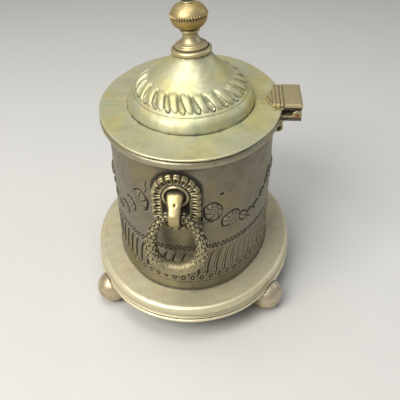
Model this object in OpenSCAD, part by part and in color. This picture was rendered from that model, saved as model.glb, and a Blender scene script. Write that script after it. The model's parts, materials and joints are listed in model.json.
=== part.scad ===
// Oval hinged-lid box of pewter and brass, on a moulded stand with four ball feet.
// Millimetres. +Z is up, +X points to the right-hand ring handle, +Y points to the hinge.
// The origin is on the surface that the box stands on, under the middle of the box.

/* [Drum] */
// Half the length of the drum, along X
drum_half_x = 63; // [61:0.5:66]
// Half the width of the drum, along Y
drum_half_y = 50; // [49:0.5:52]
// Radius of the two round ends of the drum
drum_end_r = 42; // [40:0.5:44]
// Thickness of the drum wall
wall = 1.2; // [0.8:0.1:1.6]
// Height of the drum from the stand to the underside of its rolled rim
drum_height = 91.5; // [80:0.5:100]
// Height of the rolled rim
rim_height = 5.5; // [5:0.1:6]
// How far the rolled rim stands out from the drum
rim_out = 4.2; // [3.4:0.1:4.6]

/* [Stand and feet] */
// Radius of a ball foot
foot_r = 10.35; // [9:0.05:12]
// Height of a ball foot's middle above the floor
foot_z = 10.2; // [8.9:0.05:11.9]
// Distance of a foot from the middle of the box, along X
foot_x = 46; // [43:0.5:48]
// Distance of a foot from the middle of the box, along Y
foot_y = 51; // [48:0.5:53]
// Height of the stand's lower edge above the floor
stand_low = 17.2; // [16:0.1:19]
// Height of the stand's flat top above the floor
stand_top = 28.4; // [27:0.1:31]
// How far the stand reaches out from the drum
stand_out = 16.8; // [15:0.1:18]
// Sheet thickness of the stand
stand_sheet = 1.4; // [1:0.1:1.8]

/* [Lid] */
// Sheet thickness of the lid
lid_sheet = 1.3; // [1:0.1:1.6]
// How far the lid's flat edge stands out from the drum
lid_out = 4; // [3:0.1:4.4]
// Half the length of the dome where it meets the flat edge, along X
dome_half_x = 43.4; // [40:0.2:45]
// Half the width of the dome where it meets the flat edge, along Y
dome_half_y = 37.7; // [35:0.2:38.2]
// Height of the dome from the flat edge to the knob's seat
dome_height = 28.6; // [24:0.2:34]
// Depth of the collar under the lid that fits inside the drum
bezel_depth = 5; // [3:0.5:6]
// Gap between that collar and the drum wall
bezel_gap = 0.6; // [0.5:0.1:1]

/* [Knob] */
// Radius of the turned collar at the foot of the knob
collar_r = 11.7; // [10:0.1:13]
// Radius of the milled cap
cap_r = 10.6; // [9.5:0.1:12]
// Number of milled teeth round the cap
cap_teeth = 43; // [36:1:48]
// Radius of the screw that holds the knob on the lid
knob_screw_r = 1.6; // [1.2:0.1:2]
// Angle that the knob leans towards the front
knob_lean = 3.5; // [0:0.5:5]
// How far the knob's seat lies behind the middle of the lid
knob_y = 0.8; // [0:0.1:1.5]

/* [Hinge] */
// Distance of the hinge pin from the middle of the box
hinge_y = 61.8; // [61:0.1:63]
// Height of the hinge pin's axis above the stand's flat top
hinge_rise = 95.3; // [95:0.1:95.4]
// Radius of the hinge pin
pin_r = 1.2; // [0.8:0.1:1.6]
// Radial gap between the pin and the lid leaf's bore
pin_gap = 0.05; // [0.02:0.01:0.08]
// Radius of the hinge's barrels
barrel_r = 2.8; // [2.4:0.1:2.8]
// Half the width of the hinge
hinge_half = 13.2; // [11:0.1:15]
// Half the width of the lid leaf's middle barrel
middle_half = 6.3; // [5:0.1:8]
// Gap between the moving and the fixed barrels
barrel_gap = 0.3; // [0.2:0.05:0.5]
// Thickness of the lid leaf
leaf = 3.8; // [3:0.1:4.5]

/* [Ring handles] */
// Distance of the handles from the box's long centre line, along Y
handle_y = -3.5; // [-6:0.5:6]
// Height of the middle of the rosette plate's upper round above the stand's flat top
rosette_rise = 74; // [70:0.5:78]
// Half the width of the rosette plate, and the radius of its two round ends
rosette_r = 13.3; // [11:0.1:15]
// Distance from the middle of the plate's upper round down to the middle of its lower one
rosette_drop = 10.7; // [9:0.1:11.5]
// Radius of the raised collar round the hook
boss_r = 7.4; // [6.5:0.1:8.5]
// Height above the stand's flat top of the axis that a ring swings on
ring_rise = 66.2; // [64:0.1:67]
// Distance from the middle of the box of the axis that a ring swings on
ring_x = 70.2; // [69.5:0.1:71]
// Half the width of a ring, measured to the middle of its rod
ring_half_w = 14; // [12:0.5:16]
// Height of a ring, measured to the middle of its rod
ring_h = 40.5; // [36:0.5:43]
// Radius of the ring's rod at the top, where it hangs
ring_rod_top = 2.5; // [2:0.1:2.6]
// Radius of the ring's rod at the bottom
ring_rod_low = 4.2; // [3.5:0.1:4.4]
// Width of the hook that carries a ring
hook_w = 6.6; // [5:0.2:7]
// Inside radius of the hook's eye
eye_r = 4.1; // [4:0.1:4.4]
// Outside radius of the hook's eye
eye_out = 7; // [6.6:0.1:7.4]

/* [Hidden] */
$fn = 96;

// The drum's plan is a four-centre oval: two end arcs and two flatter side arcs that meet smoothly.
end_x = drum_half_x - drum_end_r;
side_r = (end_x * end_x + drum_half_y * drum_half_y - drum_end_r * drum_end_r)
    / (2 * (drum_half_y - drum_end_r));
side_y = side_r - drum_half_y;
turn = atan2(side_y, end_x);

rim_low = stand_top + drum_height;
rim_top = rim_low + rim_height;
lid_low = rim_top + 0.1;
lid_top = lid_low + lid_sheet;
seat_z = lid_top + dome_height;
pin_z = stand_top + hinge_rise;
eps = 0.01;

// ---- outlines and sweeps ----

// The drum's oval, grown outwards by d.
module oval(d) {
    for (side = [-1, 1])
        translate([side * end_x, 0])
            circle(r = drum_end_r + d);
    intersection() {
        translate([0, side_y])
            circle(r = side_r + d);
        translate([0, -side_y])
            circle(r = side_r + d);
        square([2 * join_at(d), 2 * drum_half_y + 4 * abs(d)], center = true);
    }
}

// Where the end arc and the side arc of the grown oval meet, along X.
function join_at(d) = end_x + (drum_end_r + d) * cos(turn);

// Sweeps a profile round the drum's oval. In the profile, x is the distance out from the
// drum's face and y is the height. Each of the four arcs is turned about its own centre and
// cut off where it meets the next one.
module sweep() {
    far = 5;
    for (flip = [-1, 1]) {
        intersection() {
            translate([flip * end_x, 0, 0])
                rotate_extrude()
                    translate([drum_end_r, 0])
                        children();
            wedge([flip * end_x, 0], [flip * far * end_x, 1, far - 1], [flip * far * end_x, -1, far - 1]);
        }
        intersection() {
            translate([0, -flip * side_y, 0])
                rotate_extrude()
                    translate([side_r, 0])
                        children();
            wedge([0, -flip * side_y], [far * end_x, flip, far - 1], [-far * end_x, flip, far - 1]);
        }
    }
}

// A tall three-cornered block. Each far corner is given as its x, the side of the centre line
// that it lies on and how many times side_y it lies from that line.
module wedge(tip, a, b) {
    translate([0, 0, -10])
        linear_extrude(300)
            polygon([tip, [a[0], a[1] * a[2] * side_y], [b[0], b[1] * b[2] * side_y]]);
}

// Points of an arc of radius r about [x, y], from angle a to angle b.
function arc(x, y, r, a, b, n = 6) =
    [for (i = [0:n]) [x + r * cos(a + (b - a) * i / n), y + r * sin(a + (b - a) * i / n)]];

// Mirrors its children to the left-hand end of the box when side is -1.
module at_end(side) {
    mirror([side < 0 ? 1 : 0, 0, 0])
        children();
}

// ---- stand and feet ----

// The stand's outer line, from its lower edge up over its mouldings to the flat top.
// Each entry is the distance out from the drum and the height above the lower edge.
stand_h = stand_top - stand_low;
function stand_line(o, h) = concat(
    arc(o - 1, 1, 1, -90, 90, 6),
    [[o - 1.4, 2.2], [o - 1.4, 3], [o - 0.7, 3.3], [o - 0.7, 4.6]],
    [[o - 1.2, 5], [o - 1.2, 5.7]],
    arc(o - 3.4, h - 2.9, 2.6, 0, 90, 7),
    [[o - 4.4, h]]
);

module stand_profile() {
    inner = stand_out - 12.5;
    polygon(concat(
        [[inner, stand_low]],
        [for (p = stand_line(stand_out, stand_h)) [p[0], p[1] + stand_low]],
        [[-7, stand_top], [-7, stand_top - stand_sheet]],
        [[stand_out - 5, stand_top - stand_sheet], [stand_out - 3.4, stand_low + 5.7]],
        [[stand_out - 3.4, stand_low + stand_sheet], [inner, stand_low + stand_sheet]]
    ));
}

module stand() {
    color("#b9b7a2")
        sweep()
            stand_profile();
}

module foot(sx, sy) {
    color("#aaa894")
        difference() {
            translate([sx * foot_x, sy * foot_y, foot_z])
                sphere(r = foot_r);
            translate([0, 0, -2 * foot_r])
                linear_extrude(2 * foot_r)
                    square(4 * drum_half_x, center = true);
            translate([0, 0, stand_low])
                linear_extrude(2 * foot_r)
                    oval(stand_out);
        }
}

// ---- drum ----

module drum_wall() {
    color("#8d8a80")
        translate([0, 0, stand_top])
            difference() {
                linear_extrude(drum_height + 2)
                    difference() {
                        oval(0);
                        oval(-wall);
                    }
                hook_holes();
            }
}

// Holes in both ends of the drum for the hooks' threaded shanks.
module hook_holes() {
    for (side = [-1, 1])
        at_end(side)
            translate([end_x, handle_y, rosette_rise])
                rotate([0, 90, 0])
                    cylinder(r = shank_r + 0.05, h = drum_end_r + 20);
}

module drum_floor() {
    color("#8d8a80")
        translate([0, 0, stand_top])
            linear_extrude(wall)
                oval(-wall);
}

module rim_profile() {
    roll = rim_height / 2;
    polygon(concat(
        [[0, rim_low]],
        arc(rim_out - roll, rim_low + roll, roll, -90, 90, 10),
        [[-wall, rim_top], [-wall, rim_low + 2], [0, rim_low + 2]]
    ));
}

module drum_rim() {
    color("#a9a795")
        sweep()
            rim_profile();
}

// ---- hinge ----

slot_half = middle_half + barrel_gap;
drum_leaf = 3.4;

module barrel(half, r) {
    translate([-half, hinge_y, pin_z])
        rotate([0, 90, 0])
            cylinder(r = r, h = 2 * half);
}

// Fixed leaf: a plate from the rim to the pin, with a barrel each side of the lid's barrel.
module hinge_drum_leaf() {
    color("#9a9474")
        difference() {
            union() {
                barrel(hinge_half, barrel_r);
                translate([-hinge_half, drum_half_y + 1.2, pin_z - drum_leaf])
                    cube([2 * hinge_half, hinge_y - drum_half_y + 0.8, drum_leaf]);
            }
            translate([-slot_half, hinge_y - barrel_r - barrel_gap, pin_z - 2 * barrel_r])
                cube([2 * slot_half, 4 * barrel_r, 4 * barrel_r]);
            barrel(hinge_half + 1, pin_r);
            translate([0, 0, pin_z - 2 * drum_leaf])
                linear_extrude(4 * drum_leaf)
                    oval(0);
            sweep()
                rim_profile();
        }
}

module hinge_pin() {
    color("#8a5f3c")
        barrel(hinge_half + 0.4, pin_r);
}

// Moving leaf: a pointed tongue and a reeded strip on the lid, and a block over the pin.
block_y = 54.2;
strip_y = 47.7;
block_out = 2.7;

module hinge_lid_leaf() {
    color("#b6a87a")
        difference() {
            union() {
                translate([0, 0, lid_top])
                    linear_extrude(leaf - 1.2)
                        polygon([
                            [0, strip_y - 4], [11.4, strip_y], [-11.4, strip_y]
                        ]);
                translate([-12.4, strip_y - eps, lid_top])
                    cube([24.8, block_y - strip_y + 2 * eps, leaf - 0.5]);
                strip_reeds();
                leaf_block();
                barrel(middle_half, barrel_r);
                translate([-middle_half, hinge_y - barrel_r, pin_z])
                    cube([2 * middle_half, 2 * barrel_r, lid_top - pin_z + 1]);
            }
            barrel(hinge_half + 1, pin_r + pin_gap);
        }
}

module strip_reeds() {
    for (i = [0:2])
        translate([-12.4, strip_y + 1.1 + i * 2.15, lid_top + leaf - 0.7])
            rotate([0, 90, 0])
                cylinder(r = 0.85, h = 24.8, $fn = 32);
}

// The block over the pin, with a thin cap that overhangs it and has rounded edges.
module leaf_block() {
    depth = hinge_y + block_out - block_y;
    translate([-hinge_half + 0.5, block_y, lid_top])
        cube([2 * hinge_half - 1, depth - 0.2, leaf - 1.6]);
    hull()
        for (x = [-1, 1])
            for (y = [block_y + 0.8, hinge_y + block_out - 0.8])
                translate([x * (hinge_half - 0.3), y, lid_top + leaf - 1.8])
                    cylinder(r = 0.8, h = 1.8, $fn = 32);
}

// Scrolled bracket between the drum and the underside of the fixed leaf.
scroll_w = 8;
scroll_r = 3.6;

module hinge_scroll() {
    low = pin_z - drum_leaf;
    color("#9a9474")
        difference() {
            translate([-scroll_w / 2, 0, 0])
                rotate([90, 0, 90])
                    linear_extrude(scroll_w)
                        union() {
                            translate([drum_half_y + 2.6, low - scroll_r])
                                ring_2d(scroll_r, 1.7);
                            translate([drum_half_y + 1.6, low - 2.9 * scroll_r])
                                ring_2d(scroll_r * 0.85, 1.4);
                            translate([drum_half_y - 1, low - 3.2 * scroll_r])
                                square([1.6, 3.2 * scroll_r]);
                        }
            translate([0, 0, low - 10 * scroll_r])
                linear_extrude(20 * scroll_r)
                    oval(0);
            sweep()
                rim_profile();
        }
}

module ring_2d(outer, inner) {
    difference() {
        circle(r = outer, $fn = 48);
        circle(r = inner, $fn = 48);
    }
}

// ---- ring handles ----

shank_r = 1.5;
rosette_z = stand_top + rosette_rise;
ring_z = stand_top + ring_rise;
rosette_face = drum_half_x + 2.6;
petals_per_end = 8;

// Space that the drum fills, used to fit pieces to its curved wall.
module drum_space() {
    translate([0, 0, stand_top])
        linear_extrude(drum_height)
            oval(0);
}

// Rosette: an upright plate edged with rounded petals, with a raised collar that the hook grows from.
module rosette(side) {
    color("#a8a48e")
        at_end(side)
            difference() {
                union() {
                    translate([end_x, handle_y, rosette_z])
                        rotate([0, 90, 0])
                            rosette_blank();
                    translate([rosette_face - eps, handle_y, rosette_z])
                        rotate([0, 90, 0])
                            ring_shape(boss_r, boss_r - 1.8, 1.4);
                }
                drum_space();
                translate([end_x, handle_y, rosette_z])
                    rotate([0, 90, 0])
                        cylinder(r = shank_r, h = 3 * drum_end_r);
                translate([drum_half_x - 3, handle_y - hook_w / 2, ring_z - eye_out])
                    cube([9, hook_w, eye_out - eye_r]);
            }
}

// The plate lies flat here: x runs down the drum and z stands out from it.
module rosette_blank() {
    h = rosette_face - end_x;
    core = rosette_r - 1.2;
    for (x = [0, rosette_drop])
        translate([x, 0, 0])
            cylinder(r = core, h = h);
    translate([0, -core, 0])
        cube([rosette_drop, 2 * core, h]);
    for (p = petal_places(rosette_r - 2.3))
        translate([p[0], p[1], 0])
            cylinder(r = 2.3, h = h - 0.5, $fn = 32);
}

// The middles of the petals, on an outline r out from the line between the plate's two rounds.
function petal_places(r) = concat(
    [for (i = [0:petals_per_end]) let (a = 90 + i * 180 / petals_per_end) [r * cos(a), r * sin(a)]],
    [for (i = [0:petals_per_end]) let (a = -90 + i * 180 / petals_per_end)
        [rosette_drop + r * cos(a), r * sin(a)]],
    [for (side = [-1, 1], share = [1, 2]) [rosette_drop * share / 3, side * r]]
);

module ring_shape(outer, inner, h) {
    linear_extrude(h)
        difference() {
            circle(r = outer);
            circle(r = inner);
        }
}

// Hook: a strap that leaves the rosette, bends round the ring and comes back to the drum.
module hook(side) {
    color("#b8aa80")
        at_end(side)
            difference() {
                union() {
                    translate([0, handle_y + hook_w / 2, 0])
                        rotate([90, 0, 0])
                            linear_extrude(hook_w)
                                hook_outline();
                    translate([rosette_face, handle_y, rosette_z])
                        rotate([0, 90, 0])
                            cylinder(r = boss_r - 1.9, h = 1.2);
                    translate([drum_half_x - 6, handle_y, rosette_z])
                        rotate([0, 90, 0])
                            cylinder(r = shank_r, h = rosette_face - drum_half_x + 6 + eps);
                }
                drum_cut();
            }
}

// The strap seen from the side, in X and Z.
module hook_outline() {
    difference() {
        union() {
            translate([ring_x, ring_z])
                circle(r = eye_out);
            translate([rosette_face, ring_z - eye_out])
                square([ring_x - rosette_face, 2 * eye_out]);
            polygon([
                [rosette_face, rosette_z + 3.4], [rosette_face + 2, rosette_z + 2.6],
                [ring_x + 2.6, ring_z + 6.2], [ring_x, ring_z], [rosette_face, ring_z]
            ]);
            translate([drum_half_x - 1, ring_z - eye_out])
                square([ring_x - drum_half_x + 1, eye_out - eye_r]);
        }
        translate([ring_x, ring_z])
            circle(r = eye_r);
        translate([drum_half_x - 2, ring_z - eye_r])
            square([ring_x - drum_half_x + 2, 2 * eye_r]);
    }
}

// Fits the hook to the drum's curved wall and lets only its shank through.
module drum_cut() {
    difference() {
        drum_space();
        translate([0, handle_y, rosette_z])
            rotate([0, 90, 0])
                cylinder(r = shank_r, h = 2 * drum_half_x);
    }
}

module hook_nuts() {
    color("#9a9474")
        for (side = [-1, 1])
            at_end(side)
                translate([drum_half_x - 6, handle_y, rosette_z])
                    rotate([0, 90, 0])
                        difference() {
                            cylinder(r = 3.2, h = 4, $fn = 6);
                            translate([0, 0, -1])
                                cylinder(r = shank_r, h = 8);
                        }
}

// Ring: an egg-shaped wreath that hangs in the hook's eye and thickens towards the bottom.
ring_steps = 48;
rod_sides = 16;
// The middle of the ring's rod at t degrees: 0 is the top, where it hangs, and 180 the bottom.
function ring_y(t) = ring_half_w * sin(t) * (1 - 0.16 * cos(t));
function ring_dz(t) = -ring_h * (1 - cos(t)) / 2;
function rod_at(t) = ring_rod_top + (ring_rod_low - ring_rod_top) * (1 - cos(t)) / 2
    + 0.55 * pow(sin(t), 2);
function ring_point(t, a) =
    let (
        dy = ring_half_w * (cos(t) - 0.16 * cos(2 * t)),
        dz = -ring_h * sin(t) / 2,
        n = sqrt(dy * dy + dz * dz),
        r = rod_at(t)
    )
    [
        ring_x + r * sin(a),
        handle_y + ring_y(t) - r * cos(a) * dz / n,
        ring_z + ring_dz(t) + r * cos(a) * dy / n
    ];

module ring(side) {
    points = [
        for (i = [0:ring_steps - 1])
            for (j = [0:rod_sides - 1])
                ring_point(i * 360 / ring_steps, j * 360 / rod_sides)
    ];
    faces = [
        for (i = [0:ring_steps - 1])
            for (j = [0:rod_sides - 1])
                let (i2 = (i + 1) % ring_steps, j2 = (j + 1) % rod_sides)
                [
                    i * rod_sides + j, i * rod_sides + j2,
                    i2 * rod_sides + j2, i2 * rod_sides + j
                ]
    ];
    color("#98927c")
        at_end(side)
            polyhedron(points = points, faces = faces, convexity = 4);
}

// ---- lid ----

lid_steps = 80;

// A point on the edge of the drum's oval grown by d, in the direction a from the middle.
function oval_point(d, a) =
    let (
        c = abs(cos(a)),
        s = abs(sin(a)),
        re = drum_end_r + d,
        rs = side_r + d,
        te = end_x * c + sqrt(re * re - end_x * end_x * s * s),
        ts = -side_y * s + sqrt(rs * rs - side_y * side_y * c * c),
        t = te * c > join_at(d) ? te : ts
    )
    [t * cos(a), t * sin(a)];

// A point on an ellipse with half axes hx and hy.
function ellipse_point(hx, hy, a) = [hx * cos(a), hy * sin(a)];

// The size of the knob's seat, as a share of the dome's foot.
seat_share = 0.258;
// The dome's outer line: share of the foot's size, share of the way up.
dome_line = [
    [1, 0], [0.975, 0.12], [0.93, 0.22], [0.875, 0.275], [0.84, 0.3], [0.815, 0.345],
    [0.77, 0.41], [0.7, 0.475], [0.63, 0.525], [0.575, 0.56], [0.52, 0.62],
    [0.45, 0.7], [0.38, 0.785], [0.31, 0.885], [seat_share, 1]
];

// One ring of the dome: an ellipse at the foot that turns into a circle at the knob's seat,
// where the dome leans with the knob.
function dome_ring(p, inset, drop) =
    let (
        hx = dome_half_x * p[0],
        k = (p[0] - seat_share) / (1 - seat_share),
        hy = hx * (1 - k * (1 - dome_half_y / dome_half_x)),
        w = pow(p[1], 4)
    )
    [
        for (i = [0:lid_steps - 1])
            let (e = ellipse_point(hx - inset, hy - inset, i * 360 / lid_steps))
            [
                e[0],
                w * knob_y + e[1] * cos(w * knob_lean),
                lid_top + dome_height * p[1] - drop + e[1] * sin(w * knob_lean)
            ]
    ];

function edge_ring(d, z) = [
    for (i = [0:lid_steps - 1])
        concat(oval_point(d, i * 360 / lid_steps), [z])
];

// A ring of the screw hole through the knob's seat.
function hole_ring(r, drop) = [
    for (i = [0:lid_steps - 1])
        let (y = r * sin(i * 360 / lid_steps))
        [
            r * cos(i * 360 / lid_steps),
            knob_y + y * cos(knob_lean) + drop * sin(knob_lean),
            seat_z + y * sin(knob_lean) - drop * cos(knob_lean)
        ]
];

module lid() {
    last = len(dome_line) - 1;
    rings = concat(
        [edge_ring(lid_out - 0.4, lid_low), edge_ring(lid_out, lid_low + 0.4)],
        [edge_ring(lid_out, lid_top - 0.4), edge_ring(lid_out - 0.4, lid_top)],
        [for (p = dome_line) dome_ring(p, 0, 0)],
        [hole_ring(knob_screw_r + 0.4, 0), hole_ring(knob_screw_r + 0.4, lid_sheet)],
        [dome_ring(dome_line[last], lid_sheet, lid_sheet)],
        [for (i = [last - 1:-1:1]) dome_ring(dome_line[i], lid_sheet * 0.75, lid_sheet * 0.8)],
        [dome_ring([1, 0], lid_sheet, lid_sheet)]
    );
    n = len(rings);
    color("#b4b29c")
        polyhedron(
            points = [for (r = rings) for (p = r) p],
            faces = [
                for (k = [0:n - 1])
                    for (i = [0:lid_steps - 1])
                        let (k2 = (k + 1) % n, i2 = (i + 1) % lid_steps)
                        [
                            k * lid_steps + i, k2 * lid_steps + i,
                            k2 * lid_steps + i2, k * lid_steps + i2
                        ]
            ],
            convexity = 6
        );
}

// Collar soldered under the lid, which drops inside the drum and keeps the lid in place.
module lid_bezel() {
    out = -wall - bezel_gap;
    color("#a9a795")
        translate([0, 0, lid_low - bezel_depth])
            linear_extrude(bezel_depth)
                difference() {
                    oval(out);
                    oval(out - 1.2);
                }
}

// ---- knob ----

// Heights of the knob's pieces above the dome's seat.
stem_at = 5.2;
bowl_at = 13.8;
cap_at = 20.6;
button_at = 27.4;
button_h = 5.4;

// Places its children on the knob's seat, which leans a little to the front.
module on_seat() {
    translate([0, knob_y, seat_z])
        rotate([knob_lean, 0, 0])
            children();
}

// Turns a profile round the knob's axis, leaving a bore for the screw.
module turned(points) {
    on_seat()
        rotate_extrude()
            intersection() {
                polygon(points);
                translate([knob_screw_r, -50])
                    square([100, 200]);
            }
}

module knob_collar() {
    color("#bfae7c")
        turned(concat(
            [[0, 0], [collar_r - 0.8, 0]],
            arc(collar_r - 1.6, 1.7, 1.6, -60, 70, 8),
            [[collar_r - 2.2, 3.6], [collar_r - 2.2, 4]],
            arc(collar_r - 3.2, 4.5, 0.7, -40, 90, 4),
            [[0, stem_at]]
        ));
}

module knob_stem() {
    color("#b0a070")
        turned(concat(
            [[0, stem_at], [collar_r - 3.6, stem_at]],
            arc(9.7, 10.7, 5.4, 252, 180, 8),
            [[4.3, 11.6]],
            arc(4.6, 12.6, 0.95, -80, 80, 6),
            [[4.4, bowl_at], [0, bowl_at]]
        ));
}

module knob_bowl() {
    color("#b3a06a")
        turned(concat(
            [[0, bowl_at], [5, bowl_at]],
            arc(4.2, 20, 5.9, -68, 0, 9),
            [[10, cap_at], [0, cap_at]]
        ));
}

module knob_cap() {
    color("#c2b486")
        on_seat()
            difference() {
                union() {
                    translate([0, 0, cap_at])
                        linear_extrude(2.4)
                            milled_disc();
                    rotate_extrude()
                        polygon(concat(
                            [[0, cap_at + 2.2], [cap_r - 0.9, cap_at + 2.2]],
                            arc(2.2, cap_at - 1.6, 8.6, 27, 72, 8),
                            [[4.6, button_at], [0, button_at]]
                        ));
                }
                translate([0, 0, -1])
                    cylinder(r = knob_screw_r, h = cap_at + 5);
            }
}

module milled_disc() {
    circle(r = cap_r - 0.7);
    for (i = [0:cap_teeth - 1])
        rotate([0, 0, i * 360 / cap_teeth])
            translate([cap_r - 0.75, 0])
                circle(r = 0.6, $fn = 16);
}

module knob_button() {
    color("#c2b486")
        on_seat()
            translate([0, 0, button_at])
                rotate_extrude()
                    polygon(concat(
                        [[0, 0], [3.4, 0], [3.4, 0.8], [2.2, 1.6]],
                        arc(0, button_h - 2.6, 2.6, -28, 90, 8)
                    ));
}

module knob_screw() {
    color("#8f8a78")
        on_seat()
            translate([0, 0, -lid_sheet - 5])
                cylinder(r = knob_screw_r, h = 5 + lid_sheet + cap_at + 4);
}

module knob_washer() {
    color("#a9a795")
        on_seat()
            translate([0, 0, -lid_sheet - 1])
                ring_shape(5, knob_screw_r, 1);
}

module knob_nut() {
    color("#b6a87a")
        on_seat()
            translate([0, 0, -lid_sheet - 4])
                difference() {
                    cylinder(r = 3.6, h = 3, $fn = 6);
                    translate([0, 0, -1])
                        cylinder(r = knob_screw_r, h = 5);
                }
}

stand();
drum_wall();
drum_floor();
drum_rim();
foot(1, -1);  // foot_front_right
foot(-1, -1);  // foot_front_left
foot(1, 1);  // foot_back_right
foot(-1, 1);  // foot_back_left
hinge_drum_leaf();
hinge_scroll();
hinge_pin();
rosette(1);  // rosette_right
rosette(-1);  // rosette_left
hook(1);  // hook_right
hook(-1);  // hook_left
hook_nuts();
lid();
lid_bezel();
hinge_lid_leaf();
knob_collar();
knob_stem();
knob_bowl();
knob_cap();
knob_button();
knob_screw();
knob_washer();
knob_nut();
ring(1);  // ring_right
ring(-1);  // ring_left
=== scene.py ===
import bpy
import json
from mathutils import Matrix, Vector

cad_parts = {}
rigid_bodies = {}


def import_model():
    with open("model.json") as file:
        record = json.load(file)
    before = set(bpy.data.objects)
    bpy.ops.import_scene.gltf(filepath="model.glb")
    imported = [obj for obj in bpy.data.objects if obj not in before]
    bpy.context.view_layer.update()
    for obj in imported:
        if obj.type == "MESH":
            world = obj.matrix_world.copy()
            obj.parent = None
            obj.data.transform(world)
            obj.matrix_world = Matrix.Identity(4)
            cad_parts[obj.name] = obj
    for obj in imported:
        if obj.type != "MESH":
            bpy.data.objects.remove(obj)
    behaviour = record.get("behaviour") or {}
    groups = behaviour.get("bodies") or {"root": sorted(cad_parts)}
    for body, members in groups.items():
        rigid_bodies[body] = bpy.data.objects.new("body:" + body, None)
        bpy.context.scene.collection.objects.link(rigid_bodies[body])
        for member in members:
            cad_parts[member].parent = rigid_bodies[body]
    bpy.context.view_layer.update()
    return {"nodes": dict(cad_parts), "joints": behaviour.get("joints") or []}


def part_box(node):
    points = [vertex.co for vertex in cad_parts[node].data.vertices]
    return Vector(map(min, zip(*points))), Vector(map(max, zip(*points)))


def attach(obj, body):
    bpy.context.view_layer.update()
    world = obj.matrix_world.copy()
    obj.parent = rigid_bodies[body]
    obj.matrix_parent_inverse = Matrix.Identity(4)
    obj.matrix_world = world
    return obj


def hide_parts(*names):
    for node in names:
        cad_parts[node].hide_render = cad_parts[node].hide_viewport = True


bl_info = {
    "name": "Oval Lidded Box",
    "version": (1, 0, 0),
    "blender": (4, 5, 0),
    "location": "3D View > Sidebar > Oval Box",
    "description": "Finishes an oval pewter box with chased sides, a gadrooned lid and brass mounts",
    "category": "Add Mesh",
}

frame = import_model()        # nodes and joints of the imported model

import json
import math

import bmesh
import bpy
import numpy as np
from bpy.props import FloatProperty, FloatVectorProperty, IntProperty, PointerProperty
from mathutils import Matrix, Vector

MM = 0.001
TURN = 2 * math.pi


# ---- places taken from the frame, in millimetres ----

def span(node):
    """Lowest and highest corners of a CAD node, in millimetres."""
    low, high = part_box(node)
    return np.array(low) / MM, np.array(high) / MM


def joint_place(name):
    """Where a joint's axis runs, in millimetres."""
    return next(np.array(j["pos_m"]) / MM for j in frame["joints"] if j["name"] == name)


DRUM_LOW, DRUM_HIGH = span("drum_wall")
STAND_LOW, STAND_HIGH = span("stand")
RIM_LOW, RIM_HIGH = span("drum_rim")
LID_LOW, LID_HIGH = span("lid")
PLATE_LOW, PLATE_HIGH = span("rosette_right")
HOOK_LOW, HOOK_HIGH = span("hook_right")
PIN = joint_place("lid_hinge")
EYE = joint_place("ring_right_swing")

FOOT_LINE = STAND_HIGH[2]
RIM_OUT = RIM_HIGH[0] - DRUM_HIGH[0]
STAND_OUT = STAND_HIGH[0] - DRUM_HIGH[0]
LID_OUT = LID_HIGH[0] - DRUM_HIGH[0]
PLATE_R = (PLATE_HIGH[1] - PLATE_LOW[1]) / 2
PLATE_Y = (PLATE_HIGH[1] + PLATE_LOW[1]) / 2
PLATE_TOP_Z = PLATE_HIGH[2] - PLATE_R
PLATE_LOW_Z = PLATE_LOW[2] + PLATE_R


# ---- sizes and colours that a user would change ----

class BoxSizes(bpy.types.PropertyGroup):
    """Sizes of the sheet, the mouldings and the ornament."""
    wall: FloatProperty(
        name="Wall", description="Thickness of the drum's wall",
        default=0.0012, min=0.0008, max=0.0016, subtype="DISTANCE", unit="LENGTH")
    lid_sheet: FloatProperty(
        name="Lid sheet", description="Thickness of the lid's sheet",
        default=0.0013, min=0.001, max=0.0016, subtype="DISTANCE", unit="LENGTH")
    flutes: IntProperty(
        name="Flutes", description="Number of chased flutes round the foot of the drum",
        default=64, min=40, max=80)
    gadroons: IntProperty(
        name="Gadroons", description="Number of lobes in the band round the dome",
        default=24, min=16, max=32)
    gadroon_swirl: FloatProperty(
        name="Gadroon swirl", description="How far a lobe's foot is turned past its tip, in lobes",
        default=0.6, min=0, max=1.2)
    petals: IntProperty(
        name="Petals", description="Number of petals round a rosette plate",
        default=22, min=16, max=28)
    milling: IntProperty(
        name="Milling", description="Number of teeth round the knob's cap",
        default=43, min=36, max=48)
    lean: FloatProperty(
        name="Knob lean", description="Angle that the knob leans towards the front",
        default=math.radians(3.5), min=0, max=math.radians(5), subtype="ANGLE", unit="ROTATION")
    knob_back: FloatProperty(
        name="Knob set back", description="How far the knob's seat lies behind the middle",
        default=0.0008, min=0, max=0.0015, subtype="DISTANCE", unit="LENGTH")
    dents: FloatProperty(
        name="Dents", description="Depth of the soft dents that age leaves in sheet metal",
        default=0.00016, min=0, max=0.0005, subtype="DISTANCE", unit="LENGTH")


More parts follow.
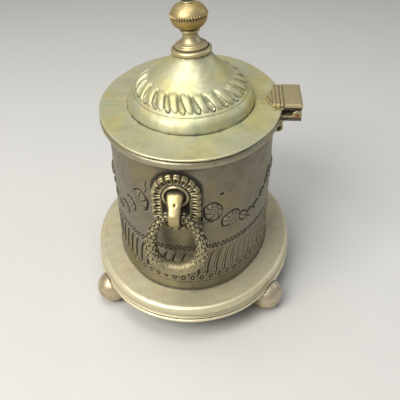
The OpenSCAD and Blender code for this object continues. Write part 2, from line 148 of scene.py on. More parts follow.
class BoxColours(bpy.types.PropertyGroup):
    """Colours of the metals, before wear and oxide."""
    stand: FloatVectorProperty(
        name="Stand pewter", description="Pale polished pewter of the stand and feet",
        default=(0.66, 0.605, 0.425), min=0, max=1, subtype="COLOR")
    # Dulled pewter, kept darker still as a painted dark reflection of dark surroundings.
    drum: FloatVectorProperty(
        name="Drum pewter", description="Dulled pewter of the drum",
        default=(0.235, 0.208, 0.150), min=0, max=1, subtype="COLOR")
    lid: FloatVectorProperty(
        name="Lid pewter", description="Satin yellowish pewter of the lid",
        default=(0.50, 0.49, 0.325), min=0, max=1, subtype="COLOR")
    pale_brass: FloatVectorProperty(
        name="Pale brass", description="Worn cast brass of the knob, hinge and hooks",
        default=(0.50, 0.425, 0.245), min=0, max=1, subtype="COLOR")
    warm_brass: FloatVectorProperty(
        name="Warm brass", description="Warmer, dulled brass of the knob's bowl",
        default=(0.36, 0.26, 0.095), min=0, max=1, subtype="COLOR")
    dull_brass: FloatVectorProperty(
        name="Dull brass", description="Cast brass of the rings and plates under old oxide",
        default=(0.38, 0.33, 0.20), min=0, max=1, subtype="COLOR")
    copper: FloatVectorProperty(
        name="Copper", description="Tarnished copper of the hinge pin",
        default=(0.30, 0.135, 0.06), min=0, max=1, subtype="COLOR")
    # Also the colour of the painted shade that the dark marks lay on.
    oxide: FloatVectorProperty(
        name="Oxide", description="Dark oxide that gathers in hollows",
        default=(0.022, 0.020, 0.016), min=0, max=1, subtype="COLOR")


class BoxStage(bpy.types.PropertyGroup):
    """The floor, the lamps and the camera."""
    floor: FloatVectorProperty(
        name="Floor", description="Colour of the plain floor",
        default=(0.55, 0.545, 0.53), min=0, max=1, subtype="COLOR")
    air: FloatProperty(
        name="Room light", description="Brightness of the even light from all sides",
        default=0.27, min=0, max=2)
    key: FloatProperty(
        name="Key light", description="Power of the large soft lamp at the left",
        default=10.5, min=0, max=50, unit="POWER")
    lens: FloatProperty(
        name="Lens", description="Focal length of the camera",
        default=46.76, min=20, max=120, unit="CAMERA")


# ---- outlines ----

class Oval:
    """The drum's plan: two end arcs and two flatter side arcs that meet smoothly."""

    def __init__(self, half_x, half_y, end_r):
        self.end_r = end_r
        self.end_x = half_x - end_r
        self.side_r = (self.end_x ** 2 + half_y ** 2 - end_r ** 2) / (2 * (half_y - end_r))
        self.side_y = self.side_r - half_y
        self.turn = math.atan2(self.side_y, self.end_x)
        end = end_r * self.turn
        side = self.side_r * (math.pi - 2 * self.turn)
        self.edges = np.cumsum([0, end, side, 2 * end, side, end])
        self.round = self.edges[-1]

    def at(self, s):
        """Face point and outward direction at each distance s round from the +X end."""
        s = np.mod(s, self.round)
        starts = [0, self.turn, math.pi - self.turn, math.pi + self.turn, TURN - self.turn]
        middles = [(self.end_x, 0), (0, -self.side_y), (-self.end_x, 0), (0, self.side_y), (self.end_x, 0)]
        radii = [self.end_r, self.side_r, self.end_r, self.side_r, self.end_r]
        which = np.clip(np.searchsorted(self.edges, s, side="right") - 1, 0, 4)
        radius = np.array(radii)[which]
        angle = np.array(starts)[which] + (s - self.edges[which]) / radius
        out = np.stack([np.cos(angle), np.sin(angle)], -1)
        return np.array(middles, float)[which] + radius[..., None] * out, out

    def towards(self, angle, d):
        """Edge of the oval grown by d, in each direction from the middle."""
        c, s = np.abs(np.cos(angle)), np.abs(np.sin(angle))
        end_r, side_r = self.end_r + d, self.side_r + d
        by_end = self.end_x * c + np.sqrt(end_r ** 2 - (self.end_x * s) ** 2)
        by_side = -self.side_y * s + np.sqrt(side_r ** 2 - (self.side_y * c) ** 2)
        join = self.end_x + end_r * math.cos(self.turn)
        reach = np.where(by_end * c > join, by_end, by_side)
        return np.stack([reach * np.cos(angle), reach * np.sin(angle)], -1)


END_SHARE = 2 / 3
PLAN = Oval(DRUM_HIGH[0], DRUM_HIGH[1], DRUM_HIGH[0] * END_SHARE)


def arc(x, y, r, start, end, count=8):
    """Points of an arc about (x, y), from start to end degrees."""
    return [(x + r * math.cos(a), y + r * math.sin(a))
            for a in np.radians(np.linspace(start, end, count + 1))]


def refined(profile, step):
    """A closed profile with points added so that none lie further apart than step."""
    points = [np.array(p, float) for p in profile]
    result = []
    for a, b in zip(points, points[1:] + points[:1]):
        pieces = max(1, math.ceil(np.linalg.norm(b - a) / step))
        result += [a + (b - a) * k / pieces for k in range(pieces)]
    return np.array(result)


def swept(profile, count):
    """A closed profile of (distance out, height) carried round the plan, as a grid of points."""
    face, out = PLAN.at(np.arange(count) * PLAN.round / count)
    flat = face[:, None] + profile[None, :, :1] * out[:, None]
    height = np.broadcast_to(profile[:, 1], flat.shape[:2])
    return np.dstack([flat, height])


def turned(profile, count):
    """A closed profile of (radius, height) turned about the Z axis, as a grid of points."""
    angle = np.arange(count) * TURN / count
    r = np.broadcast_to(profile[:, 0], (count, len(profile)))
    return np.dstack([
        r * np.cos(angle)[:, None], r * np.sin(angle)[:, None],
        np.broadcast_to(profile[:, 1], r.shape)])


# ---- surface relief ----

def smooth(low, high, value):
    """0 below low and 1 above high, with a soft step between."""
    t = np.clip((value - low) / (high - low), 0, 1)
    return t * t * (3 - 2 * t)


def hump(distance, width):
    """1 where distance is 0, falling softly to 0 over about width."""
    return np.exp(-(distance / width) ** 2)


def ripple(points, size, seed, waves=20):
    """A smooth random value at each point, mostly from -1 to 1, with bumps about size across."""
    rng = np.random.default_rng(seed)
    total = np.zeros(points.shape[:-1])
    for direction, phase in zip(rng.normal(size=(waves, 3)), rng.uniform(0, TURN, waves)):
        total += np.sin(points @ direction * (2.6 / size) + phase)
    return total / math.sqrt(2 * waves)


def facing(points):
    """Outward directions of a grid that is closed both ways round."""
    du = np.roll(points, -1, 0) - np.roll(points, 1, 0)
    dv = np.roll(points, -1, 1) - np.roll(points, 1, 1)
    normal = np.cross(du, dv)
    length = np.linalg.norm(normal, axis=-1, keepdims=True)
    volume = (points * normal).sum()
    return normal / np.maximum(length, 1e-9) * (1 if volume > 0 else -1)


def neighbours_mean(values, edges, rounds):
    """Each vertex's value, evened out with its neighbours' a number of times."""
    a, b = edges[:, 0], edges[:, 1]
    shared = np.maximum(np.bincount(a, minlength=len(values)) + np.bincount(b, minlength=len(values)), 1)
    for _ in range(rounds):
        total = np.stack([
            np.bincount(a, values[b, k], len(values)) + np.bincount(b, values[a, k], len(values))
            for k in range(values.shape[1])], -1)
        values = (values + total / shared[:, None]) / 2
    return values


# ---- meshes ----

class Shell:
    """Gathers grids and loose meshes in millimetres, and turns them into one piece."""

    def __init__(self):
        self.points, self.corners, self.sizes, self.dark = [], [], [], []
        self.count = 0

    def faces(self, points, corners, sizes, dark=None):
        self.points.append(points)
        self.corners.append(corners + self.count)
        self.sizes.append(sizes)
        self.dark.append(np.zeros(len(points)) if dark is None else dark)
        self.count += len(points)

    def grid(self, points, dark=None, capped=False):
        """A grid closed round its first index, and closed or capped along its second."""
        index = np.arange(points.shape[0] * points.shape[1]).reshape(points.shape[:2])
        ahead = np.roll(index, -1, 0)
        if capped:
            quads = np.stack([index[:, :-1], ahead[:, :-1], ahead[:, 1:], index[:, 1:]], -1)
        else:
            quads = np.stack([index, ahead, np.roll(ahead, -1, 1), np.roll(index, -1, 1)], -1)
        quads = quads.reshape(-1, 4)
        flat = points.reshape(-1, 3)
        a, b, c, d = (flat[quads[:, k]] for k in range(4))
        inside_out = (np.cross(c - a, d - b) * (a + b + c + d)).sum() < 0
        rings = [index[::-1, 0], index[:, -1]] if capped else []
        if inside_out:
            quads = quads[:, ::-1]
            rings = [r[::-1] for r in rings]
        corners = np.concatenate([quads.ravel()] + rings)
        sizes = np.concatenate([np.full(len(quads), 4), [len(r) for r in rings]]).astype(int)
        self.faces(flat, corners, sizes, None if dark is None else dark.ravel())
        return self

    def mesh(self, name):
        mesh = bpy.data.meshes.new(name)
        points = np.concatenate(self.points) * MM
        corners = np.concatenate(self.corners).astype(np.int32)
        sizes = np.concatenate(self.sizes)
        mesh.vertices.add(len(points))
        mesh.vertices.foreach_set("co", points.astype(np.float32).ravel())
        mesh.loops.add(len(corners))
        mesh.loops.foreach_set("vertex_index", corners)
        mesh.polygons.add(len(sizes))
        mesh.polygons.foreach_set("loop_start", (np.cumsum(sizes) - sizes).astype(np.int32))
        mesh.update(calc_edges=True)
        return mesh

    def piece(self, name, body, slot, metal, stands_for=(), reach=5, bite=0.06, sharp=40, matrix=None):
        """Makes the object, marks its hollows and rubbed edges together with the painted shade and
        highlights in its dark marks, and sets it on its body.
        """
        mesh = self.mesh(name)
        if matrix is not None:
            mesh.transform(matrix)
        mark_wear_and_shade(mesh, reach, bite, np.concatenate(self.dark))
        return settle(mesh, name, body, metal, stands_for, sharp)


def mark_wear_and_shade(mesh, reach, bite, dark):
    """Stores how hollow and how rubbed each vertex is; dark adds to either, by its sign, bringing painted
    shade and painted highlights in with oxide and wear.
    """
    count = len(mesh.vertices)
    points = np.empty(count * 3, np.float32)
    mesh.vertices.foreach_get("co", points)
    normals = np.empty(count * 3, np.float32)
    mesh.vertex_normals.foreach_get("vector", normals)
    edges = np.empty(len(mesh.edges) * 2, np.int32)
    mesh.edges.foreach_get("vertices", edges)
    points = points.reshape(-1, 3).astype(float) / MM
    mean = neighbours_mean(points, edges.reshape(-1, 2), reach)
    height = ((points - mean) * normals.reshape(-1, 3)).sum(1)
    height -= np.median(height)
    # Hollows from the shape, plus oxide and painted shade from dark; dark below zero adds painted
    # highlights and wear to the rubbed mark.
    hollow = np.clip(np.maximum(-height / bite, 0) + dark, 0, 1)
    rubbed = np.clip(height / bite - np.minimum(dark, 0), 0, 1) * (1 - np.clip(dark, 0, 1))
    for label, values in (("hollow", hollow), ("rubbed", rubbed)):
        layer = mesh.attributes.new(label, "FLOAT", "POINT")
        layer.data.foreach_set("value", values.astype(np.float32))


def settle(mesh, name, body, metal, stands_for, sharp):
    """Links a finished mesh as a piece that rides on a body and stands for CAD nodes."""
    mesh.polygons.foreach_set("use_smooth", np.ones(len(mesh.polygons), bool))
    mesh.set_sharp_from_angle(angle=math.radians(sharp))
    mesh.materials.append(metal)
    piece = bpy.data.objects.new(name, mesh)
    bpy.context.scene.collection.objects.link(piece)
    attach(piece, body)
    if stands_for:
        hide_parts(*stands_for)
    return piece


def prism(outline, low, high, along):
    """Corner points and faces of an outline drawn out between two levels along X or Z."""
    flat = np.array(outline, float)
    if along == "x":
        ends = [np.column_stack([np.full(len(flat), x), flat]) for x in (low, high)]
    else:
        ends = [np.column_stack([flat, np.full(len(flat), z)]) for z in (low, high)]
    n = len(flat)
    sides = [(k, (k + 1) % n, n + (k + 1) % n, n + k) for k in range(n)]
    return np.concatenate(ends), [tuple(range(n))[::-1], tuple(range(n, 2 * n))] + sides


def box_part(low, high):
    """Corner points and faces of a plain block, as stock for a casting."""
    outline = [(low[0], low[1]), (high[0], low[1]), (high[0], high[1]), (low[0], high[1])]
    return prism(outline, low[2], high[2], "z")


def cast(name, parts, grain, body, slot, stands_for, soften=4, rough=0.05, dark=None):
    """Fuses overlapping parts into one casting with soft edges and a lightly uneven skin."""
    stock = bmesh.new()
    for points, faces in parts:
        corners = [stock.verts.new(p * MM) for p in points]
        for face in faces:
            stock.faces.new([corners[k] for k in face])
    bmesh.ops.recalc_face_normals(stock, faces=stock.faces)
    rough_mesh = bpy.data.meshes.new(name + "_stock")
    stock.to_mesh(rough_mesh)
    stock.free()
    holder = bpy.data.objects.new(name + "_stock", rough_mesh)
    bpy.context.scene.collection.objects.link(holder)
    fuse = holder.modifiers.new("fuse", "REMESH")
    fuse.mode = "VOXEL"
    fuse.voxel_size = grain * MM
    relax = holder.modifiers.new("relax", "SMOOTH")
    relax.factor = 0.5
    relax.iterations = soften
    graph = bpy.context.evaluated_depsgraph_get()
    mesh = bpy.data.meshes.new_from_object(holder.evaluated_get(graph))
    bpy.data.objects.remove(holder)
    bpy.data.meshes.remove(rough_mesh)
    mesh.name = name
    count = len(mesh.vertices)
    points = np.empty(count * 3, np.float32)
    normals = np.empty(count * 3, np.float32)
    mesh.vertices.foreach_get("co", points)
    mesh.vertex_normals.foreach_get("vector", normals)
    points = points.reshape(-1, 3).astype(float) / MM
    skin = ripple(points, 1.1, 31) * rough + ripple(points, 4.0, 32) * rough
    points += normals.reshape(-1, 3) * skin[:, None]
    mesh.vertices.foreach_set("co", (points * MM).astype(np.float32).ravel())
    mesh.materials.clear()
    mesh.update()
    mark_wear_and_shade(mesh, 8, 0.05, np.zeros(count) if dark is None else dark(points))
    return settle(mesh, name, body, finish(slot), stands_for, 70)


# ---- shader maths ----

class Socket:
    """A value in a material. Arithmetic on it adds Math nodes."""

    def __init__(self, shader, output):
        self.shader, self.output = shader, output

    def _maths(self, operation, first, second):
        return self.shader.node("ShaderNodeMath", {"operation": operation}, {0: first, 1: second})

    def __add__(self, other):
        return self._maths("ADD", self, other)

    def __sub__(self, other):
        return self._maths("SUBTRACT", self, other)

    def __rsub__(self, other):
        return self._maths("SUBTRACT", other, self)

    def __mul__(self, other):
        return self._maths("MULTIPLY", self, other)

    def most(self, other):
        """The larger of this value and another."""
        return self._maths("MAXIMUM", self, other)

    __radd__ = __add__
    __rmul__ = __mul__


class Shader:
    """A material and the nodes that it is made of."""

    def __init__(self, name):
        self.material = bpy.data.materials.new(name)
        self.material.use_nodes = True
        self.tree = self.material.node_tree
        self.tree.nodes.clear()

    def node(self, kind, settings=None, inputs=None, output=0):
        """Adds a node: its settings come first, then the values or links of its sockets."""
        made = self.tree.nodes.new(kind)
        for key, value in (settings or {}).items():
            setattr(made, key, value)
        for key, value in (inputs or {}).items():
            if isinstance(value, Socket):
                self.tree.links.new(value.output, made.inputs[key])
            else:
                made.inputs[key].default_value = value
        return Socket(self, made.outputs[output]) if made.outputs else None

    def mark(self, label):
        """A value stored on the mesh's vertices."""
        return self.node("ShaderNodeAttribute", {"attribute_name": label}, output="Fac")

    def noise(self, place, size, detail=3.0, rough=0.55, twist=0.0):
        """Soft noise with features about size millimetres across."""
        return self.node(
            "ShaderNodeTexNoise", {"noise_dimensions": "3D"},
            {"Vector": place, "Scale": 1 / (size * MM), "Detail": detail, "Roughness": rough,
             "Distortion": twist})

    def stretched(self, place, angles, scale):
        """The place turned and drawn out, for marks that run one way."""
        return self.node("ShaderNodeMapping", {}, {"Vector": place, "Rotation": angles, "Scale": scale})

    def step(self, value, low, high):
        """0 below low and 1 above high, with a soft step between."""
        return self.node(
            "ShaderNodeMapRange", {"interpolation_type": "SMOOTHSTEP"},
            {"Value": value, "From Min": low, "From Max": high})

    def blend(self, factor, first, second):
        """A colour between two others."""
        return self.node("ShaderNodeMix", {"data_type": "RGBA"}, {0: factor, 6: first, 7: second}, 2)

    def surface(self, colour, roughness, metallic, height, depth, coat=0.0):
        """The metal surface itself, with a bump that is depth millimetres deep."""
        bump = self.node("ShaderNodeBump", {}, {"Height": height, "Strength": 1.0, "Distance": depth * MM})
        metal = self.node("ShaderNodeBsdfPrincipled", {}, {
            "Base Color": colour, "Roughness": roughness, "Metallic": metallic, "Normal": bump,
            "Coat Weight": coat, "Coat Roughness": 0.25})
        self.node("ShaderNodeOutputMaterial", {}, {"Surface": metal})
        return self.material


def opaque(colour):
    """A colour with full alpha, as a node's socket takes it."""
    return (*tuple(colour)[:3], 1.0)


def tinted(colour, r, g, b):
    """A colour with each channel multiplied."""
    return (min(colour[0] * r, 1), min(colour[1] * g, 1), min(colour[2] * b, 1), 1.0)


def worn_metal(name, base, oxide, roughness, tarnish=0.5, patches=0.5, scratches=0.4, pits=0.3,
               grain=0.4, rub=0.6, dark=0.92, shine=0.78):
    """Old metal: tinted patches, tarnish clouds, oxide in hollows, rubbed edges, scratches and pits, with
    painted shade drawn in the oxide colour and painted highlights drawn as rubbed metal.
    """
    m = Shader(name)
    place = m.node("ShaderNodeTexCoord", output="Object")
    # The hollow mark holds oxide in hollows and the painted shade that the dark marks lay in.
    hollow = m.mark("hollow")
    rubbed = m.mark("rubbed")
    broad = m.noise(place, 26, 2.0, 0.5, 0.4)
    other = m.noise(m.stretched(place, (0.4, 1.1, 0.3), (1.3, 0.9, 1.0)), 17, 3.0, 0.6, 0.8)
    clouds = m.noise(place, 6.5, 5.0, 0.62, 0.6)
    fine = m.noise(place, 1.4, 4.0, 0.65)
    skin = m.noise(place, 0.32, 2.0, 0.6)
    hair_a = m.noise(m.stretched(place, (0.3, 0.2, 0.5), (1.0, 26.0, 5.0)), 9, 2.0, 0.5)
    hair_b = m.noise(m.stretched(place, (1.2, -0.5, -0.9), (22.0, 1.0, 6.0)), 8, 2.0, 0.5)
    hairs = m.step(hair_a, 0.64, 0.70).most(m.step(hair_b, 0.65, 0.70)) * scratches
    spots = m.step(m.noise(place, 2.6, 2.0, 0.5), 0.70, 0.76) * pits
    warm = m.step(broad, 0.44, 0.68) * patches
    cool = m.step(other, 0.50, 0.70) * patches
    pink = m.step(m.noise(place, 11, 2.0, 0.5, 0.3), 0.60, 0.74) * (0.55 * patches)
    dull = m.step(clouds, 0.42, 0.74) * tarnish
    colour = m.blend(warm, opaque(base), tinted(base, 1.15, 1.05, 0.66))
    colour = m.blend(cool * 0.6, colour, tinted(base, 0.76, 0.90, 0.82))
    colour = m.blend(pink, colour, tinted(base, 1.05, 0.90, 0.88))
    colour = m.blend(dull, colour, tinted(base, 0.56, 0.53, 0.46))
    colour = m.blend(m.step(fine, 0.50, 0.72) * (0.35 * tarnish), colour, tinted(base, 0.62, 0.58, 0.5))
    # Rubbed edges, and painted highlights where dark ran below zero, drawn lighter.
    colour = m.blend(rubbed * rub, colour, tinted(base, 1.45, 1.42, 1.35))
    # Oxide in hollows together with painted shade, both drawn in the oxide colour.
    oxide_and_shade = m.step(hollow + (fine - 0.5) * 0.35, 0.16, 0.85)
    colour = m.blend(oxide_and_shade * dark, colour, opaque(oxide))
    colour = m.blend(spots * 0.75, colour, tinted(base, 0.25, 0.23, 0.19))
    colour = m.blend(hairs * 0.35, colour, tinted(base, 1.3, 1.3, 1.25))
    rough = (roughness + (clouds - 0.5) * 0.22 + (fine - 0.5) * 0.10 + oxide_and_shade * 0.28 + spots * 0.2
             - rubbed * 0.10 - hairs * 0.06)
    metallic = shine - oxide_and_shade * 0.35 - spots * 0.3 - dull * 0.12
    height = (fine - 0.5) * (0.5 * grain) + (skin - 0.5) * (0.45 * grain) - hairs * 0.35 - spots * 0.6
    return m.surface(colour, rough, metallic, height, 0.05)


FINISHES = {}


def finish(kind):
    """The finish of that name, made the first time it is asked for."""
    if kind not in FINISHES:
        c = bpy.context.scene.box_colours
        makers = {
            "pewter_bright": lambda: worn_metal(
                "pewter_bright", c.stand, c.oxide, 0.50, tarnish=0.35, patches=0.32, pits=0.2,
                shine=0.68),
            "pewter_dark": lambda: worn_metal(
                "pewter_dark", c.drum, c.oxide, 0.46, tarnish=0.50, patches=0.60, rub=0.75),
            "pewter_lid": lambda: worn_metal(
                "pewter_lid", c.lid, c.oxide, 0.52, tarnish=0.48, patches=0.90, dark=0.85,
                shine=0.70),
            "pewter_feet": lambda: worn_metal(
                "pewter_feet", tuple(a * b for a, b in zip(c.stand, (0.84, 0.78, 0.80))), c.oxide, 0.42,
                tarnish=0.75, patches=0.5, pits=0.5),
            "pewter_rim": lambda: worn_metal(
                "pewter_rim", tuple(0.45 * a + 0.38 * b for a, b in zip(c.drum, c.stand)), c.oxide, 0.46,
                tarnish=0.6, patches=0.7),
            "brass_cap": lambda: worn_metal(
                "brass_cap", tuple(0.45 * a + 0.5 * b for a, b in zip(c.pale_brass, c.warm_brass)), c.oxide,
                0.50, tarnish=0.7, patches=0.7, pits=0.4),
            "brass_hook": lambda: worn_metal(
                "brass_hook", c.pale_brass, c.oxide, 0.46, tarnish=1.0, patches=0.8, grain=1.0),
            "brass_pale": lambda: worn_metal(
                "brass_pale", c.pale_brass, c.oxide, 0.46, tarnish=0.55, patches=0.5, pits=0.4),
            "brass_warm": lambda: worn_metal(
                "brass_warm", c.warm_brass, c.oxide, 0.48, tarnish=0.5, patches=0.5, pits=0.4),
            "brass_dull": lambda: worn_metal(
                "brass_dull", c.dull_brass, c.oxide, 0.44, tarnish=0.60, patches=0.5, rub=1.0, grain=0.8),
            "copper_pin": lambda: worn_metal(
                "copper_pin", c.copper, c.oxide, 0.42, tarnish=0.5, patches=0.5),
            "steel": lambda: worn_metal(
                "steel", (0.36, 0.35, 0.33), c.oxide, 0.38, tarnish=0.4, patches=0.3),
        }
        FINISHES[kind] = makers[kind]()
    return FINISHES[kind]


# ---- the drum's chased work ----

# Heights up the drum of the flutes' feet and tips, and how far round it the first struck ring is.
FLUTE_LOW, FLUTE_HIGH = 13.0, 33.0
FIRST_RING = 10.0


class Chasing:
    """Height and darkness of the chased work, over distance round the drum and height up it."""

    def __init__(self, s, z):
        self.s, self.z = s, z
        self.step = s[1] - s[0]
        self.height = np.zeros((len(s), len(z)))
        self.dark = np.zeros((len(s), len(z)))

    def near(self, s, z, reach):
        """The part of the grid within reach of a point: its indices and offsets from the point."""
        half = math.ceil(reach / self.step)
        columns = (round(s / self.step) + np.arange(-half, half + 1))
        rows = np.nonzero(np.abs(self.z - z) <= reach)[0]
        across = columns * self.step - s
        return np.ix_(columns % len(self.s), rows), across[:, None], (self.z[rows] - z)[None, :]

    def work(self, place, covered, height, dark):
        """Lays worked metal over what was there, where covered says so."""
        self.height[place] = self.height[place] * (1 - covered) + height
        self.dark[place] = np.maximum(self.dark[place] * (1 - covered), dark)

    def punch(self, s, z, half_s, half_z, lean=0.0, depth=0.34, width=0.42):
        """A small ring struck with a hollow punch."""
        place, x, y = self.near(s, z, 1.6 * max(half_s, half_z))
        rho = np.hypot((x - lean * y) / half_s, y / half_z)
        ring = hump((rho - 1) * min(half_s, half_z), width)
        self.height[place] += 0.16 * hump(rho, 0.6) - depth * ring
        self.dark[place] = np.maximum(self.dark[place], 0.95 * ring)

    def stroke(self, path, width=0.42, depth=0.28, tone=0.8):
        """A line chased along a path of (s, z) points."""
        path = np.array(path, float)
        middle = (path.min(0) + path.max(0)) / 2
        place, x, y = self.near(middle[0], middle[1], np.ptp(path, 0).max() / 2 + 2)
        x, y = np.broadcast_arrays(x + middle[0], y + middle[1])
        nearest = np.full(x.shape, 1e9)
        for a, b in zip(path, path[1:]):
            run = b - a
            t = np.clip(((x - a[0]) * run[0] + (y - a[1]) * run[1]) / (run @ run), 0, 1)
            nearest = np.minimum(nearest, np.hypot(x - a[0] - t * run[0], y - a[1] - t * run[1]))
        line = hump(nearest, width)
        self.height[place] -= depth * line
        self.dark[place] = np.maximum(self.dark[place], tone * line)

    def bloom(self, s, z, half_s, half_z, tilt=0.0, petals=5, hand=1):
        """A domed flower: an outline, two rounds of curled petals and a button."""
        size = max(half_s, half_z)
        place, x, y = self.near(s, z, 1.7 * size)
        c, w = math.cos(tilt), math.sin(tilt)
        across, up = (x * c + y * w) / half_s, (y * c - x * w) / half_z
        rho, phi = np.hypot(across, up), np.arctan2(up, across)
        r = rho / (1 + 0.03 * np.cos(petals * phi + 1))
        covered = 1 - smooth(0.98, 1.10, r)
        body = 1.25 * np.sqrt(np.clip(1 - 0.85 * r * r, 0, 1))
        heart = np.hypot(across - 0.16 * hand, up - 0.20) / 0.46
        swirl = np.arctan2(up - 0.20, across - 0.16 * hand) * (petals + 2) / 2 + hand * 0.9 * heart
        fold = hump(np.abs(np.sin(swirl)), 0.30) * smooth(0.95, 1.15, heart) * (1 - smooth(0.90, 1.0, r))
        rounds = 0.55 * hump((heart - 0.95) * size * 0.46, 0.30)
        rounds = rounds + 0.6 * hump((heart - 0.40) * size * 0.46, 0.26)
        outline = hump((r - 1.05) * size, 0.46 + 0.24 * np.clip(-across * hand - up, 0, 1))
        height = covered * (body - 0.45 * fold - 0.36 * rounds) - 0.50 * outline
        dark = np.clip(covered * (0.90 * fold + 0.60 * rounds) + 0.88 * outline, 0, 1)
        self.work(place, covered, height, dark)

    def leaf(self, s, z, length, width, angle, lobes=4):
        """A long lobed leaf with a midrib and side veins."""
        place, x, y = self.near(s, z, 0.75 * length)
        c, w = math.cos(angle), math.sin(angle)
        along, side = x * c + y * w, y * c - x * w
        t = np.clip(along / length + 0.5, 0, 1)
        half = width / 2 * np.sin(math.pi * t) ** 0.6 * (1 + 0.16 * np.cos(TURN * lobes * t)) + 0.02
        r = np.hypot(side / half, np.maximum(np.abs(along) - length / 2, 0))
        covered = 1 - smooth(0.92, 1.12, r)
        body = 0.75 * np.sqrt(np.clip(1 - 0.8 * r * r, 0, 1))
        rib = hump(side, 0.28)
        veins = hump(np.abs(np.sin(math.pi * (along - 0.7 * np.abs(side)) / (length / 6))), 0.30) * 0.6
        outline = hump((r - 1.05) * np.maximum(half, 0.5), 0.50) * (t > 0) * (t < 1)
        height = covered * (body - 0.30 * rib - 0.20 * veins) - 0.38 * outline
        dark = np.clip(covered * (0.7 * rib + 0.5 * veins) + outline, 0, 1)
        self.work(place, covered, height, dark)


def flute_band(work, count):
    """Hollow flutes that rise straight and then lean over; returns a painted highlight along their ridges,
    partly rubbed wear.
    """
    low, high = FLUTE_LOW, FLUTE_HIGH
    pitch = PLAN.round / count
    s, z = work.s[:, None], work.z[None, :]
    t = np.clip((z - low) / (high - low), 0, 1)
    lean = 4.6 * t ** 2.1
    place = (s - 1.6 - lean) / pitch
    x = (place - np.floor(place) - 0.5) * pitch
    half = pitch / 2
    inside = smooth(low - 0.4, low + 1.2, z + 0.9 * (x / half) ** 2) * (
        1 - smooth(high - 3.2, high - 0.2, z + 1.8 * (x / half) ** 2))
    channel = -0.42 * (1 - (x / half) ** 2)
    ridge = hump(np.abs(x) - half, 0.34)
    left = hump(x + half - 0.82, 0.66)
    right = hump(x - half + 0.55, 0.26)
    work.height += inside * (channel + 0.36 * ridge - 0.52 * left - 0.18 * right)
    work.dark = np.maximum(work.dark, inside * np.clip(1.15 * left + 0.40 * right, 0, 1))
    # Painted highlight along each ridge, partly rubbed wear.
    return inside * hump(np.abs(x + 0.12 * half) - half, 0.55)


def borders(work, count):
    """Rows of struck rings: single ones under the flutes and leaning pairs over them."""
    low, high = FLUTE_LOW, FLUTE_HIGH
    pitch = PLAN.round / count
    rng = np.random.default_rng(5)
    for k in range(count):
        s = FIRST_RING + k * pitch
        jog = rng.normal(0, 0.14, 4)
        work.punch(s + jog[0], low - 2.6 + jog[1], 1.02, 1.42)
        work.stroke([(s - pitch / 2, low + 0.5), (s - pitch / 2 + 0.2, low - 2.0)], 0.30, 0.22, 0.75)
        for side in (-1, 1):
            work.punch(s + 3.1 + side * 1.15 + jog[2], high + 1.9 + jog[3], 0.72, 1.45, 0.25, 0.30, 0.34)
        work.stroke([(s + 5.3, high + 0.7), (s + 6.3, high + 2.9)], 0.28, 0.2, 0.7)


# Each quarter's garland from the handle to the middle of the side: a flower's or leaf's distance
# from the end of the box, height up the drum, size and turn.
FRONT_BLOOMS = [(26.5, 63.5, 5.2, 6.4, -0.5), (70.0, 59.5, 4.6, 4.8, 0.2)]
FRONT_LEAVES = [
    (35.6, 56.0, 10.5, 7.0, 0.85), (42.6, 49.5, 9.5, 6.0, 0.60), (51.5, 45.5, 7.5, 4.0, 0.10),
    (59.5, 48.6, 7.5, 4.0, -0.55), (65.0, 54.0, 6.0, 3.8, -0.9)]
BACK_BLOOMS = [(16.8, 60.2, 5.2, 5.8, 0.4), (28.4, 51.6, 6.2, 4.4, 0.30), (70.5, 58.5, 4.6, 4.8, 0.2)]
BACK_LEAVES = [
    (12.6, 56.0, 8.0, 4.4, 1.05), (37.6, 49.0, 7.6, 5.2, -0.55), (43.8, 47.8, 6.6, 4.4, 0.35),
    (51.0, 49.0, 7.0, 3.6, 0.45), (58.5, 53.0, 7.5, 4.0, 0.55), (64.6, 57.4, 6.0, 3.4, 0.4)]


# Loose ends of ribbon and stalk, as paths of (distance, height).
FRONT_STALKS = [
    [(22.4, 70), (21.2, 72.6), (21.8, 75.4), (20.8, 78.4)],
    [(47, 49), (50.5, 50.4), (53.5, 48.8), (52, 46.4)]]
BACK_STALKS = [
    [(15, 57), (14, 54.5), (16, 52.8), (17.5, 54)],
    [(35, 46.5), (38.5, 44.6), (42.5, 45.4), (45, 43.6)]]
RIBBONS = [[(2, 61.5), (5, 65.5), (9.5, 66), (13, 62.5)], [(1.5, 50), (4, 45.5), (3, 42.5), (6, 40.5)]]


def garlands(work):
    """Flower garlands looped from each handle to a bloom and ribbons at the middle of each side."""
    quarter = PLAN.round / 4
    for end in (0, 1):
        for way, blooms, leaves, stalks in (
                (1 - 2 * end, BACK_BLOOMS, BACK_LEAVES, BACK_STALKS),
                (2 * end - 1, FRONT_BLOOMS, FRONT_LEAVES, FRONT_STALKS)):
            origin = 2 * quarter * end
            middle = origin + way * quarter
            for s, z, length, width, angle in leaves:
                work.leaf(origin + way * s, z, length, width, way * angle)
            for s, z, half_s, half_z, tilt in blooms:
                work.bloom(origin + way * s, z, half_s, half_z, way * tilt, hand=way)
            for path in stalks:
                work.stroke([(origin + way * s, z) for s, z in path])
            work.bloom(middle, 55.5, 5.4, 5.4, 0, 6)
            for side in (-1, 1):
                work.leaf(middle + side * 8.2, 57.0, 7.4, 3.8, side * 0.25)
                for path in RIBBONS:
                    work.stroke([(middle + side * s, z) for s, z in path])
        work.punch(2 * quarter * end + (1 - 2 * end) * 22, 71, 0.5, 0.5, 0, 0.5, 0.7)


